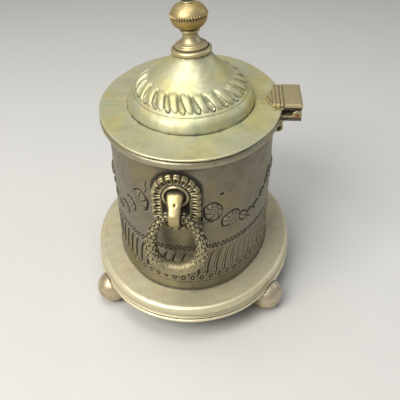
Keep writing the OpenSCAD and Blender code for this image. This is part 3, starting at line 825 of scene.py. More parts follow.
def paint_shade_round_mounts(work, height):
    """Painted shade under the rim, at the foot, and round and above the rosette plates; also a fine dark
    line low on the drum.
    """
    s, z = work.s[:, None], work.z[None, :]
    top, low = PLATE_TOP_Z - FOOT_LINE, PLATE_LOW_Z - FOOT_LINE
    half_round = PLAN.round / 2
    for middle in (PLATE_Y, half_round - PLATE_Y):
        across = np.mod(s - middle + half_round, PLAN.round) - half_round
        reach = np.hypot(across, np.maximum(z - top, 0) + np.minimum(z - low, 0)) - PLATE_R
        # Painted shadow that each plate casts on the wall round it, stronger above.
        halo = hump(np.maximum(reach - 0.3, 0), 2.0) * (0.55 + 0.40 * smooth(top - 4, top + 8, z))
        work.dark = np.maximum(work.dark, halo)
        # Painted shade in a broad column over each plate, up to the rim.
        column = hump(np.abs(across) / 15, 1.0) * smooth(top + 9, top + 15, z) * 0.55
        work.dark = np.maximum(work.dark, column)
    # Painted shade under the rim's roll.
    work.dark = np.maximum(work.dark, 0.80 * smooth(height - 3.2, height - 0.2, z) + 0 * s)
    # Painted shade where the drum meets the stand.
    work.dark = np.maximum(work.dark, 0.85 * (1 - smooth(0.1, 1.2, z)) + 0 * s)
    line = hump(z - 6.9, 0.30) + 0 * s
    work.height -= 0.10 * line
    work.dark = np.maximum(work.dark, 0.35 * line)


def make_drum(sizes):
    """The drum's wall, embossed outside and plain inside."""
    columns, rows, gap = 990, 206, DRUM_HIGH[2] - DRUM_LOW[2]
    height = RIM_LOW[2] - FOOT_LINE
    z = np.concatenate([np.linspace(0, 82, rows - 14, endpoint=False), np.linspace(82, gap, 14)])
    s = np.arange(columns) * PLAN.round / columns
    work = Chasing(s, z)
    ridge_sheen = flute_band(work, sizes.flutes)
    borders(work, sizes.flutes)
    garlands(work)
    paint_shade_round_mounts(work, height)
    inner = np.linspace(gap, 0, 9)
    profile = np.concatenate([
        np.column_stack([np.zeros(rows), z]), np.column_stack([np.full(9, -sizes.wall / MM), inner])])
    profile[:, 1] += FOOT_LINE
    points = swept(profile, columns)
    free = smooth(0, 6, z) * (1 - smooth(height - 7, height - 1, z))
    dented = ripple(points[:, :rows], 16, 11) + 0.5 * ripple(points[:, :rows], 6, 12)
    out = PLAN.at(s)[1]
    lift = work.height + dented * free * sizes.dents / MM
    points[:, :rows, :2] += out[:, None] * lift[..., None]
    # Oxide and painted shade from the dark marks, lightened by a painted highlight on the flutes' ridges.
    tone_shift = work.dark - 0.75 * ridge_sheen * np.clip(1 - 2 * work.dark, 0, 1)
    # The inner face gets a flat painted shade.
    dark = np.concatenate([tone_shift, np.full((columns, 9), 0.25)], 1)
    Shell().grid(points, dark).piece(
        "drum_wall_chased", "drum", "pewter_dark", finish("pewter_dark"), ["drum_wall"], 4, 0.09)


# ---- stand, rim and feet ----

def stand_line():
    """The stand's outer line, from its lower edge over the mouldings to its flat top."""
    o, low, top = STAND_OUT, STAND_LOW[2], STAND_HIGH[2]
    line = arc(o - 1, 1, 1, -90, 70, 8) + [(o - 1.25, 2.15), (o - 1.35, 2.5), (o - 1.3, 2.85)]
    line += arc(o - 1.15, 3.5, 0.62, -70, 70, 6) + [(o - 1.15, 4.3)]
    line += arc(o - 1.1, 4.85, 0.45, -50, 50, 4) + [(o - 1.15, 5.5), (o - 1.0, 5.75)]
    line += arc(o - 3.5, top - low - 2.75, 2.65, 0, 84, 10)
    line += [(o - 4.3, top - low - 0.10), (o - 5.2, top - low - 0.14)]
    return [(x, y + low) for x, y in line]


def make_stand(sizes):
    """The moulded stand, with a turned-in lower edge and a flat top under the drum."""
    o, low, top = STAND_OUT, STAND_LOW[2], STAND_HIGH[2]
    sheet = 1.4
    under = [(-7, top), (-7, top - sheet), (o - 5, top - sheet), (o - 3.4, low + 5.7),
             (o - 3.4, low + sheet), (o - 12.5, low + sheet), (o - 12.5, low)]
    profile = refined(stand_line() + [(o - 8, top - 0.10), (3.0, top - 0.02), (1.2, top)] + under, 0.7)
    points = swept(profile, 720)
    soft = smooth(0.4, 3.5, profile[:, 0]) * (1 - smooth(o - 5, o - 1, profile[:, 0]) * 0.6)
    age = (ripple(points, 22, 21) + 0.5 * ripple(points, 8, 22)) * soft
    points += facing(points) * (age * sizes.dents / MM)[..., None]
    # Painted shade where the drum stands on the flat top.
    contact_shade = hump(profile[:, 0] - 0.5, 0.55) * (profile[:, 1] > top - 0.6)
    grooves = hump(profile[:, 1] - low - 2.5, 0.3) + hump(profile[:, 1] - low - 4.3, 0.22)
    grooves = (grooves + hump(profile[:, 1] - low - 5.5, 0.25)) * (profile[:, 0] > o - 3)
    # Painted shade on the stand's underside and inner faces.
    inside = 0.45 * ((profile[:, 0] < o - 2.6) & (profile[:, 1] < top - 0.8))
    dark = np.broadcast_to(0.75 * contact_shade + 0.60 * grooves + inside, points.shape[:2])
    Shell().grid(points, dark).piece(
        "stand_moulded", "drum", "pewter_bright", finish("pewter_bright"), ["stand"], 4, 0.10)


def make_rim(sizes):
    """The rolled rim round the drum's mouth, with a fine bead under the roll."""
    low, top = RIM_LOW[2], RIM_HIGH[2]
    roll = (top - low) / 2
    line = [(0, low + 0.05), (0.6, low)] + arc(RIM_OUT - roll, low + roll, roll, -84, 90, 18)
    profile = refined(line + [(-1.2, top), (-1.2, low + 2), (0, low + 2)], 0.5)
    points = swept(profile, 720)
    age = ripple(points, 12, 41) + 0.5 * ripple(points, 4, 42)
    outer = smooth(0.5, 1.5, profile[:, 0]) * (1 - smooth(top - 1.2, top - 0.2, profile[:, 1]))
    points += facing(points) * (age * outer * 0.5 * sizes.dents / MM)[..., None]
    # Painted shade under the roll and at its top, where the lid's edge sits over it.
    under = 0.75 * (1 - smooth(low + 0.1, low + 2.0, profile[:, 1])) + 0.95 * (
        smooth(top - 1.1, top - 0.3, profile[:, 1]))
    dark = np.broadcast_to(under, points.shape[:2])
    Shell().grid(points, dark).piece(
        "drum_rim_rolled", "drum", "pewter_bright", finish("pewter_rim"), ["drum_rim"], 4, 0.10)


def plan_distance(x, y):
    """Distance of a point outside the drum's plan, and less than nothing inside it."""
    x, y = np.abs(x), np.abs(y)
    by_end = np.hypot(x - PLAN.end_x, y) - PLAN.end_r
    by_side = np.hypot(x, y + PLAN.side_y) - PLAN.side_r
    return np.where(np.arctan2(y + PLAN.side_y, x) < PLAN.turn, by_end, by_side)


def make_foot(node, seed):
    """A ball foot with a worn flat under it and dents round it, let into the stand above."""
    low, high = span(node)
    middle_x, middle_y = (low[0] + high[0]) / 2, (low[1] + high[1]) / 2
    radius = (high[0] - low[0]) / 2
    middle = np.array([middle_x, middle_y, radius - 0.15])
    tilt = np.radians(np.linspace(-89, 89, 72))
    turn = np.arange(112) * TURN / 112
    ball = np.stack([
        np.cos(turn)[:, None] * np.cos(tilt), np.sin(turn)[:, None] * np.cos(tilt),
        np.broadcast_to(np.sin(tilt), (112, 72))], -1)
    reach = radius * (1 + 0.0028 * ripple(ball, 0.6, seed) + 0.0012 * ripple(ball, 0.2, seed + 1) - 0.003)
    points = middle + ball * reach[..., None]
    points[..., 2] = np.maximum(points[..., 2], 0)
    inside = plan_distance(points[..., 0], points[..., 1]) < STAND_OUT - 0.3
    points[..., 2] = np.where(inside, np.minimum(points[..., 2], STAND_LOW[2] + 0.25), points[..., 2])
    beside = plan_distance(points[..., 0], points[..., 1]) - STAND_OUT
    high_up = smooth(STAND_LOW[2] - 0.6, STAND_LOW[2], points[..., 2])
    # Painted shade on the top of the ball, under the stand's edge.
    joint = hump(np.maximum(beside, 0), 0.7) * 0.8 * high_up
    # Darker at the very bottom of the ball.
    tone_shift = hump(points[..., 2], 0.5) * 0.5
    Shell().grid(points, joint + tone_shift, capped=True).piece(
        node + "_ball", "drum", "pewter_bright", finish("pewter_feet"), [node], 5, 0.10)


# ---- lid ----

SEAT_SHARE = 0.258
SEAT_R = 11.2
# The dome's line: share of the foot's size, share of the way up to the knob.
DOME_LINE = [
    (1, 0), (0.996, 0.05), (0.978, 0.115), (0.957, 0.17), (0.932, 0.213), (0.908, 0.243),
    (0.888, 0.259), (0.878, 0.262), (0.868, 0.278), (0.856, 0.291), (0.842, 0.300), (0.815, 0.340),
    (0.77, 0.403), (0.70, 0.470), (0.63, 0.525), (0.575, 0.572), (0.52, 0.628), (0.45, 0.705),
    (0.38, 0.790), (0.31, 0.890), (0.275, 0.955), (0.258, 1)]
# Where the gadroons' feet and tips lie, and the width of the dome's foot against its length.
BAND_LOW, BAND_TIP = 0.845, 0.590
DOME_WIDTH_SHARE = 0.8687
FIRST_GADROON = math.radians(1.7)


def smooth_line(points, step):
    """A soft curve through points, with its own points about step apart."""
    p = np.array(points, float)
    before, after = np.vstack([2 * p[0] - p[1], p[:-1]]), np.vstack([p[1:], 2 * p[-1] - p[-2]])
    slope = (after - before) / 2
    result = []
    for k in range(len(p) - 1):
        count = max(2, math.ceil(np.linalg.norm(p[k + 1] - p[k]) / step))
        t = np.arange(count)[:, None] / count
        rise = 3 * t ** 2 - 2 * t ** 3
        leave, arrive = t ** 3 - 2 * t ** 2 + t, t ** 3 - t ** 2
        result.append((1 - rise) * p[k] + rise * p[k + 1] + leave * slope[k] + arrive * slope[k + 1])
    return np.vstack(result + [p[-1:]])


def gadroons(turn, share, sizes):
    """Height and darkness of the band of lobes and comma-shaped hollows round the dome."""
    q = (share - BAND_TIP) / (BAND_LOW - BAND_TIP)
    swirl = sizes.gadroon_swirl * np.clip(q, 0, 1.1) ** 1.3
    place = (turn + FIRST_GADROON) / TURN * sizes.gadroons - swirl + sizes.gadroon_swirl
    number = np.floor(place + 0.5)
    x = place - number
    late = 0.05 * np.sin(number * 2.4 + 1)
    width = 0.055 + 0.150 * np.clip(q, 0, 1) ** 0.8
    q_end, q_reach = 0.76, 0.17
    hollow = np.where(q < q_end, np.abs(x) / width, np.hypot(x / width, (q - q_end) / q_reach))
    beside = 0.5 - np.abs(x)
    lobe_width = 0.5 - width - 0.075
    foot = q - q_end - 0.04
    lobe = np.where(foot < 0, beside / lobe_width, np.hypot(beside / lobe_width, foot / q_reach))
    there = smooth(0.0, 0.30, q + late) * (1 - smooth(1.02, 1.10, q))
    scoop = np.clip(1 - hollow ** 2, 0, 1) ** 0.6
    swell = np.clip(1 - lobe ** 2, 0, 1) ** 0.5
    line = hump(hollow - 1.22, 0.24)
    rim = hump(hollow - 0.96, 0.10)
    height = there * (-0.62 * scoop + 0.72 * swell - 0.26 * line + 0.20 * rim)
    dark = there * np.clip(0.42 * scoop + 0.80 * line, 0, 1)
    return height, dark


def dome_rows(line, turn, foot_x, foot_y, rise, base, sizes, inset=0.0, drop=0.0):
    """Rings of the dome: ellipses at the foot that turn into a leaning circle at the knob's seat."""
    share, up = line[:, 0], line[:, 1]
    half_x = foot_x * share
    fade = (share - SEAT_SHARE) / (1 - SEAT_SHARE)
    half_y = half_x * (1 - fade * (1 - foot_y / foot_x))
    lean = up ** 4
    x = np.cos(turn)[:, None] * (half_x - inset)
    y = np.sin(turn)[:, None] * (half_y - inset)
    back = lean * sizes.knob_back / MM + y * np.cos(lean * sizes.lean)
    return np.dstack([x, back, base + rise * up - drop + y * np.sin(lean * sizes.lean)])


def flat_row(edge, height):
    """One row of a grid: an outline at a height."""
    return np.column_stack([edge, np.full(len(edge), height)])[:, None]


def make_lid(sizes):
    """The lid: a flat edge, a rolled moulding, a ledge, the gadroons and a plain cone."""
    columns = 960
    sheet = sizes.lid_sheet / MM
    low = LID_LOW[2]
    top = low + sheet
    seat = LID_HIGH[2] - SEAT_R * math.sin(sizes.lean)
    rise = seat - top
    foot_x, foot_y = SEAT_R / SEAT_SHARE, SEAT_R / SEAT_SHARE * DOME_WIDTH_SHARE
    turn = np.arange(columns) * TURN / columns
    foot = np.column_stack([foot_x * np.cos(turn), foot_y * np.sin(turn)])
    edge_rows = []
    for x, z in arc(LID_OUT - sheet / 2, low + sheet / 2, sheet / 2, -90, 90, 8):
        edge_rows.append(flat_row(PLAN.towards(turn, x), z))
    rim = PLAN.towards(turn, LID_OUT - sheet / 2)
    flange = [flat_row(rim + (foot - rim) * t, top - 0.12 * math.sin(math.pi * t))
              for t in np.linspace(0.04, 0.97, 26)]
    bands = smooth_line(DOME_LINE, 0.0085)
    dense = smooth_line([p for p in bands if BAND_TIP - 0.03 < p[0] < BAND_LOW + 0.01], 0.0045)
    line = np.vstack([
        bands[bands[:, 0] >= BAND_LOW + 0.01], dense, bands[bands[:, 0] <= BAND_TIP - 0.03]])
    dome = dome_rows(line, turn, foot_x, foot_y, rise, top, sizes)
    hole = hole_ring(turn, 2.0, 0, seat, sizes)
    hole_low = hole_ring(turn, 2.0, sheet, seat, sizes)
    inner_line = np.array(DOME_LINE)[::-2]
    inner = dome_rows(inner_line, turn, foot_x, foot_y, rise, top, sizes, sheet, sheet)
    foot_in = np.column_stack([(foot_x - sheet) * np.cos(turn), (foot_y - sheet) * np.sin(turn)])
    underside = [flat_row(foot_in + (rim - foot_in) * t, low) for t in np.linspace(0.05, 0.96, 24)]
    grid = np.concatenate(edge_rows + flange + [dome, hole, hole_low, inner] + underside, 1)
    first = len(edge_rows) + len(flange)
    height = np.zeros(grid.shape[:2])
    dark = np.zeros(grid.shape[:2])
    band = slice(first, first + dome.shape[1])
    lobes, tone = gadroons(turn[:, None], line[None, :, 0], sizes)
    height[:, band] += lobes
    dark[:, band] += tone
    # Painted shade on the underside of the lid's edge, over the rim.
    dark[:, 1:4] += 0.9
    # Painted shade on the flange, deepening towards the dome's foot, mottled.
    apron = slice(len(edge_rows) + 16, first)
    painted_shade = np.clip(0.55 + 0.9 * ripple(grid[:, apron], 5, 54), 0, 1)
    dark[:, apron] += 0.40 * np.linspace(0, 1, first - apron.start)[None, :] ** 2 * painted_shade
    share = np.zeros(grid.shape[1])
    share[band] = line[:, 0]
    # Painted shade at the dome's foot and round the knob's seat, and a dark line in the groove above the
    # roll.
    for line_share, tone in ((0.999, 0.45), (0.879, 0.55), (0.262, 0.5)):
        dark += tone * hump(share - line_share, 0.006)
    # Painted shade on the hole and the lid's underside.
    dark[:, first + dome.shape[1]:] += 0.25
    inner_flange = np.zeros(grid.shape[1])
    inner_flange[2:first + dome.shape[1] - 4] = 1
    aged = ripple(grid, 15, 51) + 0.6 * ripple(grid, 6, 52)
    height += aged * inner_flange * sizes.dents / MM * 0.8
    grid += facing(grid) * height[..., None]
    near = np.hypot((np.abs(grid[..., 0]) - 15) / 6.5, (grid[..., 1] - 46.5) / 5)
    dark -= 0.8 * hump(near, 1.0) * inner_flange * (grid[..., 2] < top + 1)
    # Painted shadow of the hinge's tongue on the flange.
    tongue = np.maximum((np.abs(grid[..., 0]) - 12.5) / 2.2, 0) + np.maximum((42.5 - grid[..., 1]) / 2.2, 0)
    dark += 0.5 * hump(tongue, 1.0) * inner_flange * (grid[..., 1] > 38) * (grid[..., 2] < top + 1)
    contact = ripple(grid, 3.0, 53)
    dark *= 0.8 + 0.35 * contact
    Shell().grid(grid, np.clip(dark, -1, 1)).piece(
        "lid_domed", "lid", "pewter_lid", finish("pewter_lid"), ["lid"], 4, 0.10)


def hole_ring(turn, radius, drop, seat, sizes):
    """A ring of the screw's hole through the knob's seat."""
    y = radius * np.sin(turn)
    lean = sizes.lean
    return np.column_stack([
        radius * np.cos(turn), sizes.knob_back / MM + y * math.cos(lean) + drop * math.sin(lean),
        seat + y * math.sin(lean) - drop * math.cos(lean)])[:, None]


# ---- knob ----

STEM_AT, BOWL_AT, CAP_AT, BUTTON_AT = 5.2, 13.8, 20.6, 27.4
BORE = 1.65


def knob_matrix(sizes):
    """Carries a turned part from the Z axis to the leaning seat on the dome."""
    seat = LID_HIGH[2] - SEAT_R * math.sin(sizes.lean)
    return Matrix.Translation(Vector((0, sizes.knob_back, seat * MM))) @ Matrix.Rotation(sizes.lean, 4, "X")


def make_turning(name, node, slot, profile, sizes, teeth=None, kind=None, dark=None):
    """One turned part of the knob, with its bore, faint tool marks and soft knocks."""
    profile = refined(profile, 0.35)
    count = sizes.milling * 10 if teeth else 192
    points = turned(profile, count)
    tool = 0.014 * np.sin(profile[:, 1] * 9.0) * (profile[:, 0] > 2.5)
    change = np.broadcast_to(tool, points.shape[:2]) + 0.05 * ripple(points, 4, 61)
    change = change * smooth(2.0, 3.0, np.hypot(points[..., 0], points[..., 1]))
    if teeth:
        change = change + teeth(points)
    points += facing(points) * change[..., None]
    tone = None if dark is None else np.broadcast_to(dark(profile), points.shape[:2])
    return Shell().grid(points, tone).piece(
        name, "lid", slot, finish(kind or slot), [node], 5, 0.07, matrix=knob_matrix(sizes))


def make_knob(sizes):
    """The knob: collar, stem, bowl, milled cap and button."""
    r = (span("knob_collar")[1][0] - span("knob_collar")[0][0]) / 2
    cap = (span("knob_cap")[1][0] - span("knob_cap")[0][0]) / 2
    collar = [(BORE, 0), (r - 0.9, 0)] + arc(r - 1.6, 1.65, 1.6, -62, 80, 14)
    collar += [(r - 2.0, 3.30), (r - 2.15, 3.45), (r - 2.25, 3.75)]
    collar += arc(r - 3.0, 4.25, 0.72, -35, 92, 8) + [(r - 3.6, STEM_AT), (BORE, STEM_AT)]
    # Painted shade where the collar sits on the lid, and a dark line in its groove.
    make_turning("knob_collar_turned", "knob_collar", "brass_pale", collar, sizes,
                 dark=lambda p: 0.85 * hump(p[:, 1] - 3.45, 0.28) + 0.5 * hump(p[:, 1], 0.5))
    stem = [(BORE, STEM_AT), (r - 3.5, STEM_AT)] + arc(9.75, 10.75, 5.45, 250, 181, 18)
    stem += [(4.28, 11.5)] + arc(4.65, 12.55, 0.92, -85, 85, 12) + [(4.45, BOWL_AT), (BORE, BOWL_AT)]
    # Painted shade in the stem's neck and where it meets the bowl.
    make_turning("knob_stem_turned", "knob_stem", "brass_pale", stem, sizes,
                 dark=lambda p: 0.8 * hump(p[:, 1] - 11.5, 0.3) + 0.8 * hump(p[:, 1] - BOWL_AT, 0.35))
    bowl = [(BORE, BOWL_AT), (5.0, BOWL_AT)] + arc(4.15, 19.9, 5.95, -66, 0, 20)
    bowl += [(10.05, 20.3), (9.9, CAP_AT), (BORE, CAP_AT)]
    # Painted shade under the cap's edge and on the bowl's lower curve.
    make_turning("knob_bowl_turned", "knob_bowl", "brass_warm", bowl, sizes,
                 dark=lambda p: 0.75 * hump(p[:, 1] - 20.4, 0.35) + 0.35 * hump(p[:, 1] - 15.0, 0.5))
    dome = [(BORE, CAP_AT), (cap - 1.2, CAP_AT)] + arc(cap - 0.8, CAP_AT + 0.8, 0.8, -70, 40, 10)
    dome += arc(2.2, CAP_AT - 1.6, 8.6, 26, 72, 16) + [(4.6, BUTTON_AT), (BORE, BUTTON_AT)]

    def milled(points):
        angle = np.arctan2(points[..., 1], points[..., 0])
        height = points[..., 2] - CAP_AT
        wave = np.cos(sizes.milling * angle + 1.4 * height)
        edge = smooth(cap - 2.4, cap - 1.2, np.hypot(points[..., 0], points[..., 1]))
        return 0.36 * wave * edge * (1 - smooth(1.0, 1.9, height)) - 0.10 * edge

    # Painted shade under the cap's rim, where it meets the bowl.
    make_turning("knob_cap_milled", "knob_cap", "brass_pale", dome, sizes, milled, "brass_cap",
                 lambda p: 0.6 * hump(p[:, 1] - CAP_AT, 0.4) * (p[:, 0] > cap - 3))
    button = [(0.03, BUTTON_AT), (3.3, BUTTON_AT)] + arc(3.3, BUTTON_AT + 0.45, 0.4, -60, 90, 6)
    button += [(2.3, BUTTON_AT + 1.3), (2.15, BUTTON_AT + 1.7)]
    button += arc(0, BUTTON_AT + 2.8, 2.6, -24, 89, 14)
    profile = np.array(button)
    points = turned(profile, 96)
    Shell().grid(points, capped=True).piece(
        "knob_button_turned", "lid", "brass_pale", finish("brass_pale"), ["knob_button"], 4, 0.06,
        matrix=knob_matrix(sizes))


# ---- rosette plates, hooks and rings ----

def to_side(points, side):
    """Mirrors points to the left-hand end of the box when side is -1."""
    return points * np.array([side, 1, 1])


def make_plate(side, sizes):
    """An upright rosette plate: hollow petals round its edge and a collar round the hook."""
    name = "right" if side > 0 else "left"
    count = sizes.petals * 30
    straight = PLATE_TOP_Z - PLATE_LOW_Z
    petal_r = PLATE_R - 2.3
    half = math.pi * petal_r
    way = np.arange(count) / count * 2 * (half + straight)
    turn = np.where(way < half, way / petal_r, np.where(
        way < half + straight, math.pi, np.where(
            way < 2 * half + straight, (way - straight) / petal_r, TURN)))
    along = np.where(way < half, 0, np.where(
        way < half + straight, way - half, np.where(
            way < 2 * half + straight, straight, 2 * (half + straight) - way)))
    middle_z = PLATE_TOP_Z - along
    x = np.mod(way / (2 * (half + straight)) * sizes.petals + 0.5, 1) - 0.5
    rho = np.concatenate([np.linspace(0.03, 7.6, 16), np.linspace(7.9, PLATE_R, 42)])
    trim = 1 - 0.085 * (2 * np.abs(x)) ** 3
    r = rho[None, :] * np.where(rho[None, :] > 9, trim[:, None] ** smooth(9, 12.5, rho[None, :]), 1)
    y = PLATE_Y + r * np.cos(turn)[:, None]
    z = middle_z[:, None] + r * np.sin(turn)[:, None]
    xx = np.abs(x)[:, None]
    petals = smooth(7.9, 8.8, rho)
    scoop = hump(np.hypot(xx / 0.25, (rho - 9.9) / 1.5), 1.0)
    sides = hump(xx - 0.32, 0.12) * petals * (1 - 0.5 * smooth(11.5, 12.8, rho))
    tips = hump(np.hypot(xx / 0.40, (rho - 11.9) / 1.05), 1.0)
    notch = hump(xx - 0.5, 0.10) * petals
    inner_bead = hump(rho - 8.1, 0.5)
    away = np.hypot(y - PLATE_Y, z - PLATE_TOP_Z)
    collar = np.sqrt(np.clip(1 - ((away - 6.5) / 0.95) ** 2, 0, 1))
    well = 1 - smooth(6.8, 7.8, rho) + 0 * xx
    height = 0.40 * sides + 0.85 * tips - 0.85 * scoop - 0.95 * notch + 0.25 * inner_bead
    height = height * (1 - smooth(-0.3, 0.5, 7.6 - away)) - 0.55 * well + collar * 1.75
    dark = np.clip(0.95 * scoop + 0.95 * notch + 0.75 * well * (1 - collar) +
                   0.9 * hump(away - 7.7, 0.45) - 0.4 * tips, 0, 1)
    face_x = PLATE_HIGH[0] - 1.4 - 0.55
    edge_fall = 1.1 * smooth(PLATE_R - 0.9, PLATE_R, rho)
    flat = np.dstack([0 * y, y, z])
    skin = ripple(flat, 0.9, 71) * 0.06 + ripple(flat, 2.6, 72) * 0.10
    front = np.dstack([face_x + height - edge_fall + skin, y, z])
    drum_x = PLAN.end_x + np.sqrt(PLAN.end_r ** 2 - y ** 2) - 0.35
    back = np.dstack([np.minimum(drum_x, front[..., 0] - 0.3), y, z])[:, ::-6]
    grid = np.concatenate([front, back], 1)
    # The plate's back, against the wall, gets a flat painted shade.
    tone = np.concatenate([dark, np.full(back.shape[:2], 0.8)], 1)
    Shell().grid(to_side(grid, side), tone).piece(
        "rosette_plate_" + name, "drum", "brass_dull", finish("brass_dull"), ["rosette_" + name], 4, 0.10)


def make_hook(side):
    """The strap hook: it flares out of the collar, bends round the ring and comes back."""
    name = "right" if side > 0 else "left"
    bend = (HOOK_HIGH[0] - EYE[0]) - 1.45
    path = [(PLATE_HIGH[0] - 1.9, PLATE_TOP_Z + 1.6), (PLATE_HIGH[0] + 0.2, PLATE_TOP_Z + 1.0),
            (PLATE_HIGH[0] + 3.6, PLATE_TOP_Z - 1.2), (PLATE_HIGH[0] + 6.6, PLATE_TOP_Z - 3.7)]
    path += arc(EYE[0], EYE[2], bend, 28, -90, 12)
    path += [(EYE[0] - 3.5, EYE[2] - bend), (DRUM_HIGH[0] - 0.6, EYE[2] - bend)]
    line = smooth_line(path, 0.35)
    way = np.concatenate([[0], np.cumsum(np.linalg.norm(np.diff(line, axis=0), axis=1))])
    share = way / way[-1]
    tangent = np.gradient(line, axis=0)
    tangent /= np.linalg.norm(tangent, axis=1, keepdims=True)
    normal = np.column_stack([-tangent[:, 1], tangent[:, 0]])
    wide = np.interp(share, [0, 0.10, 0.28, 0.50, 0.66, 0.80, 1], [5.0, 4.6, 3.35, 3.05, 3.35, 3.2, 3.0])
    thick = np.interp(share, [0, 0.10, 0.28, 0.50, 0.70, 0.85, 1], [2.6, 2.3, 1.55, 1.38, 1.42, 1.35, 1.3])
    angle = np.arange(56) * TURN / 56
    power = 2 / 2.3
    across = np.sign(np.cos(angle)) * np.abs(np.cos(angle)) ** power
    outward = np.sign(np.sin(angle)) * np.abs(np.sin(angle)) ** power
    y = EYE[1] + across[:, None] * wide
    x = line[:, 0] + outward[:, None] * thick * normal[:, 0]
    z = line[:, 1] + outward[:, None] * thick * normal[:, 1]
    grid = np.dstack([x, y, z])
    upper = share < 0.5
    spot = way[upper][np.argmin(np.abs(line[upper, 1] - EYE[2] - 6.2))]
    dimple = hump(np.hypot(y - EYE[1] - 0.3, way[None, :] - spot), 0.75) * (outward[:, None] > 0.3)
    away = grid - np.dstack([line[:, 0] + 0 * x, EYE[1] + 0 * y, line[:, 1] + 0 * z])
    grid = grid + away * (0.02 * ripple(grid, 2.4, 81) - 0.30 * dimple)[..., None]
    # Painted shade where the strap comes back to the wall, at its root in the collar and along both edges;
    # the dimple is darkened too.
    low = hump(grid[..., 0] - DRUM_HIGH[0] - 1.5, 2.0) * 0.7
    root = hump(share, 0.07)[None, :] * 0.8 + 0.75 * smooth(0.72, 1.0, np.abs(across))[:, None]
    Shell().grid(to_side(grid, side), np.clip(0.8 * dimple + low + root, 0, 1), capped=True).piece(
        "hook_strap_" + name, "drum", "brass_pale", finish("brass_hook"), ["hook_" + name], 6, 0.12)


def make_ring(side):
    """The ring: an egg-shaped wreath of small leaves, worn plain where fingers pull it."""
    name = "right" if side > 0 else "left"
    low, high = span("ring_" + name)
    top_r, low_r = 2.5, 4.2
    drop = EYE[2] - low[2] - low_r
    half_w = (high[1] - low[1]) / 2 - 3.87
    t = np.arange(900) * TURN / 900
    angle = np.arange(72) * TURN / 72
    rod = top_r + (low_r - top_r) * (1 - np.cos(t)) / 2 + 0.55 * np.sin(t) ** 2
    dy = half_w * (np.cos(t) - 0.16 * np.cos(2 * t))
    dz = -drop * np.sin(t) / 2
    length = np.hypot(dy, dz)
    way = np.cumsum(length) * TURN / 900
    way = np.where(t < math.pi, way, way[-1] - way)[:, None]
    leaf_long, leaf_rows = 2.7, 6
    rod_frame = np.dstack([
        np.cos(angle) * rod[:, None], np.sin(angle) * rod[:, None], way + 0 * angle[None, :]])
    run = way + 0.45 * ripple(rod_frame, 2.2, 92)
    number = np.floor(run / leaf_long)
    u = run / leaf_long - number
    v = angle[None, :] / TURN * leaf_rows + 0.5 * (number % 2) + 0.16 * ripple(rod_frame, 2.0, 93)
    v = v - np.floor(v) - 0.5
    leaf = np.sqrt(np.clip(1 - (2.0 * v / np.clip(1.15 - 0.75 * u ** 2, 0.2, 2)) ** 2, 0, 1))
    swell = leaf * (0.30 + 0.80 * u) * (1 - smooth(0.84, 1.0, u))
    vein = hump(v, 0.06) * (1 - smooth(0.6, 0.8, u)) * 0.15
    facing_out = np.cos(angle[None, :] - math.pi / 2)
    inward = -np.cos(angle[None, :])
    plain = hump((t[:, None] - math.pi) / 0.95, 1.0) * smooth(-0.30, 0.30, 0.8 * facing_out + 0.6 * inward)
    hatch = 0.5 + 0.5 * np.sin(way * 4.6 + angle[None, :] * 9) * np.sin(way * 3.1 - angle[None, :] * 7)
    relief = (swell - vein) * (1 - plain) + plain * (0.66 + 0.24 * hatch)
    relief = relief + 0.13 * ripple(rod_frame, 0.8, 91) * (1 - 0.6 * plain)
    r = rod[:, None] - 0.95 + 0.97 * relief
    y = EYE[1] + half_w * np.sin(t) * (1 - 0.16 * np.cos(t))
    z = EYE[2] - drop * (1 - np.cos(t)) / 2
    grid = np.dstack([
        EYE[0] + r * np.sin(angle)[None, :],
        y[:, None] - r * np.cos(angle)[None, :] * (dz / length)[:, None],
        z[:, None] + r * np.cos(angle)[None, :] * (dy / length)[:, None]])
    # Dark in the hollows between leaves, with painted shade along both sides of the tube.
    dark = np.clip(1.30 - 2.3 * relief + 0.45 * smooth(0.25, 0.95, np.abs(inward)), 0, 1) * (1 - plain)
    Shell().grid(to_side(grid, side), dark).piece(
        "ring_wreath_" + name, "ring_" + name, "brass_dull", finish("brass_dull"), ["ring_" + name],
        4, 0.10)


# ---- hinge ----

def circle(y, z, r, count=40):
    """Points round a circle in Y and Z."""
    return [(y + r * math.cos(a), z + r * math.sin(a)) for a in np.arange(count) * TURN / count]


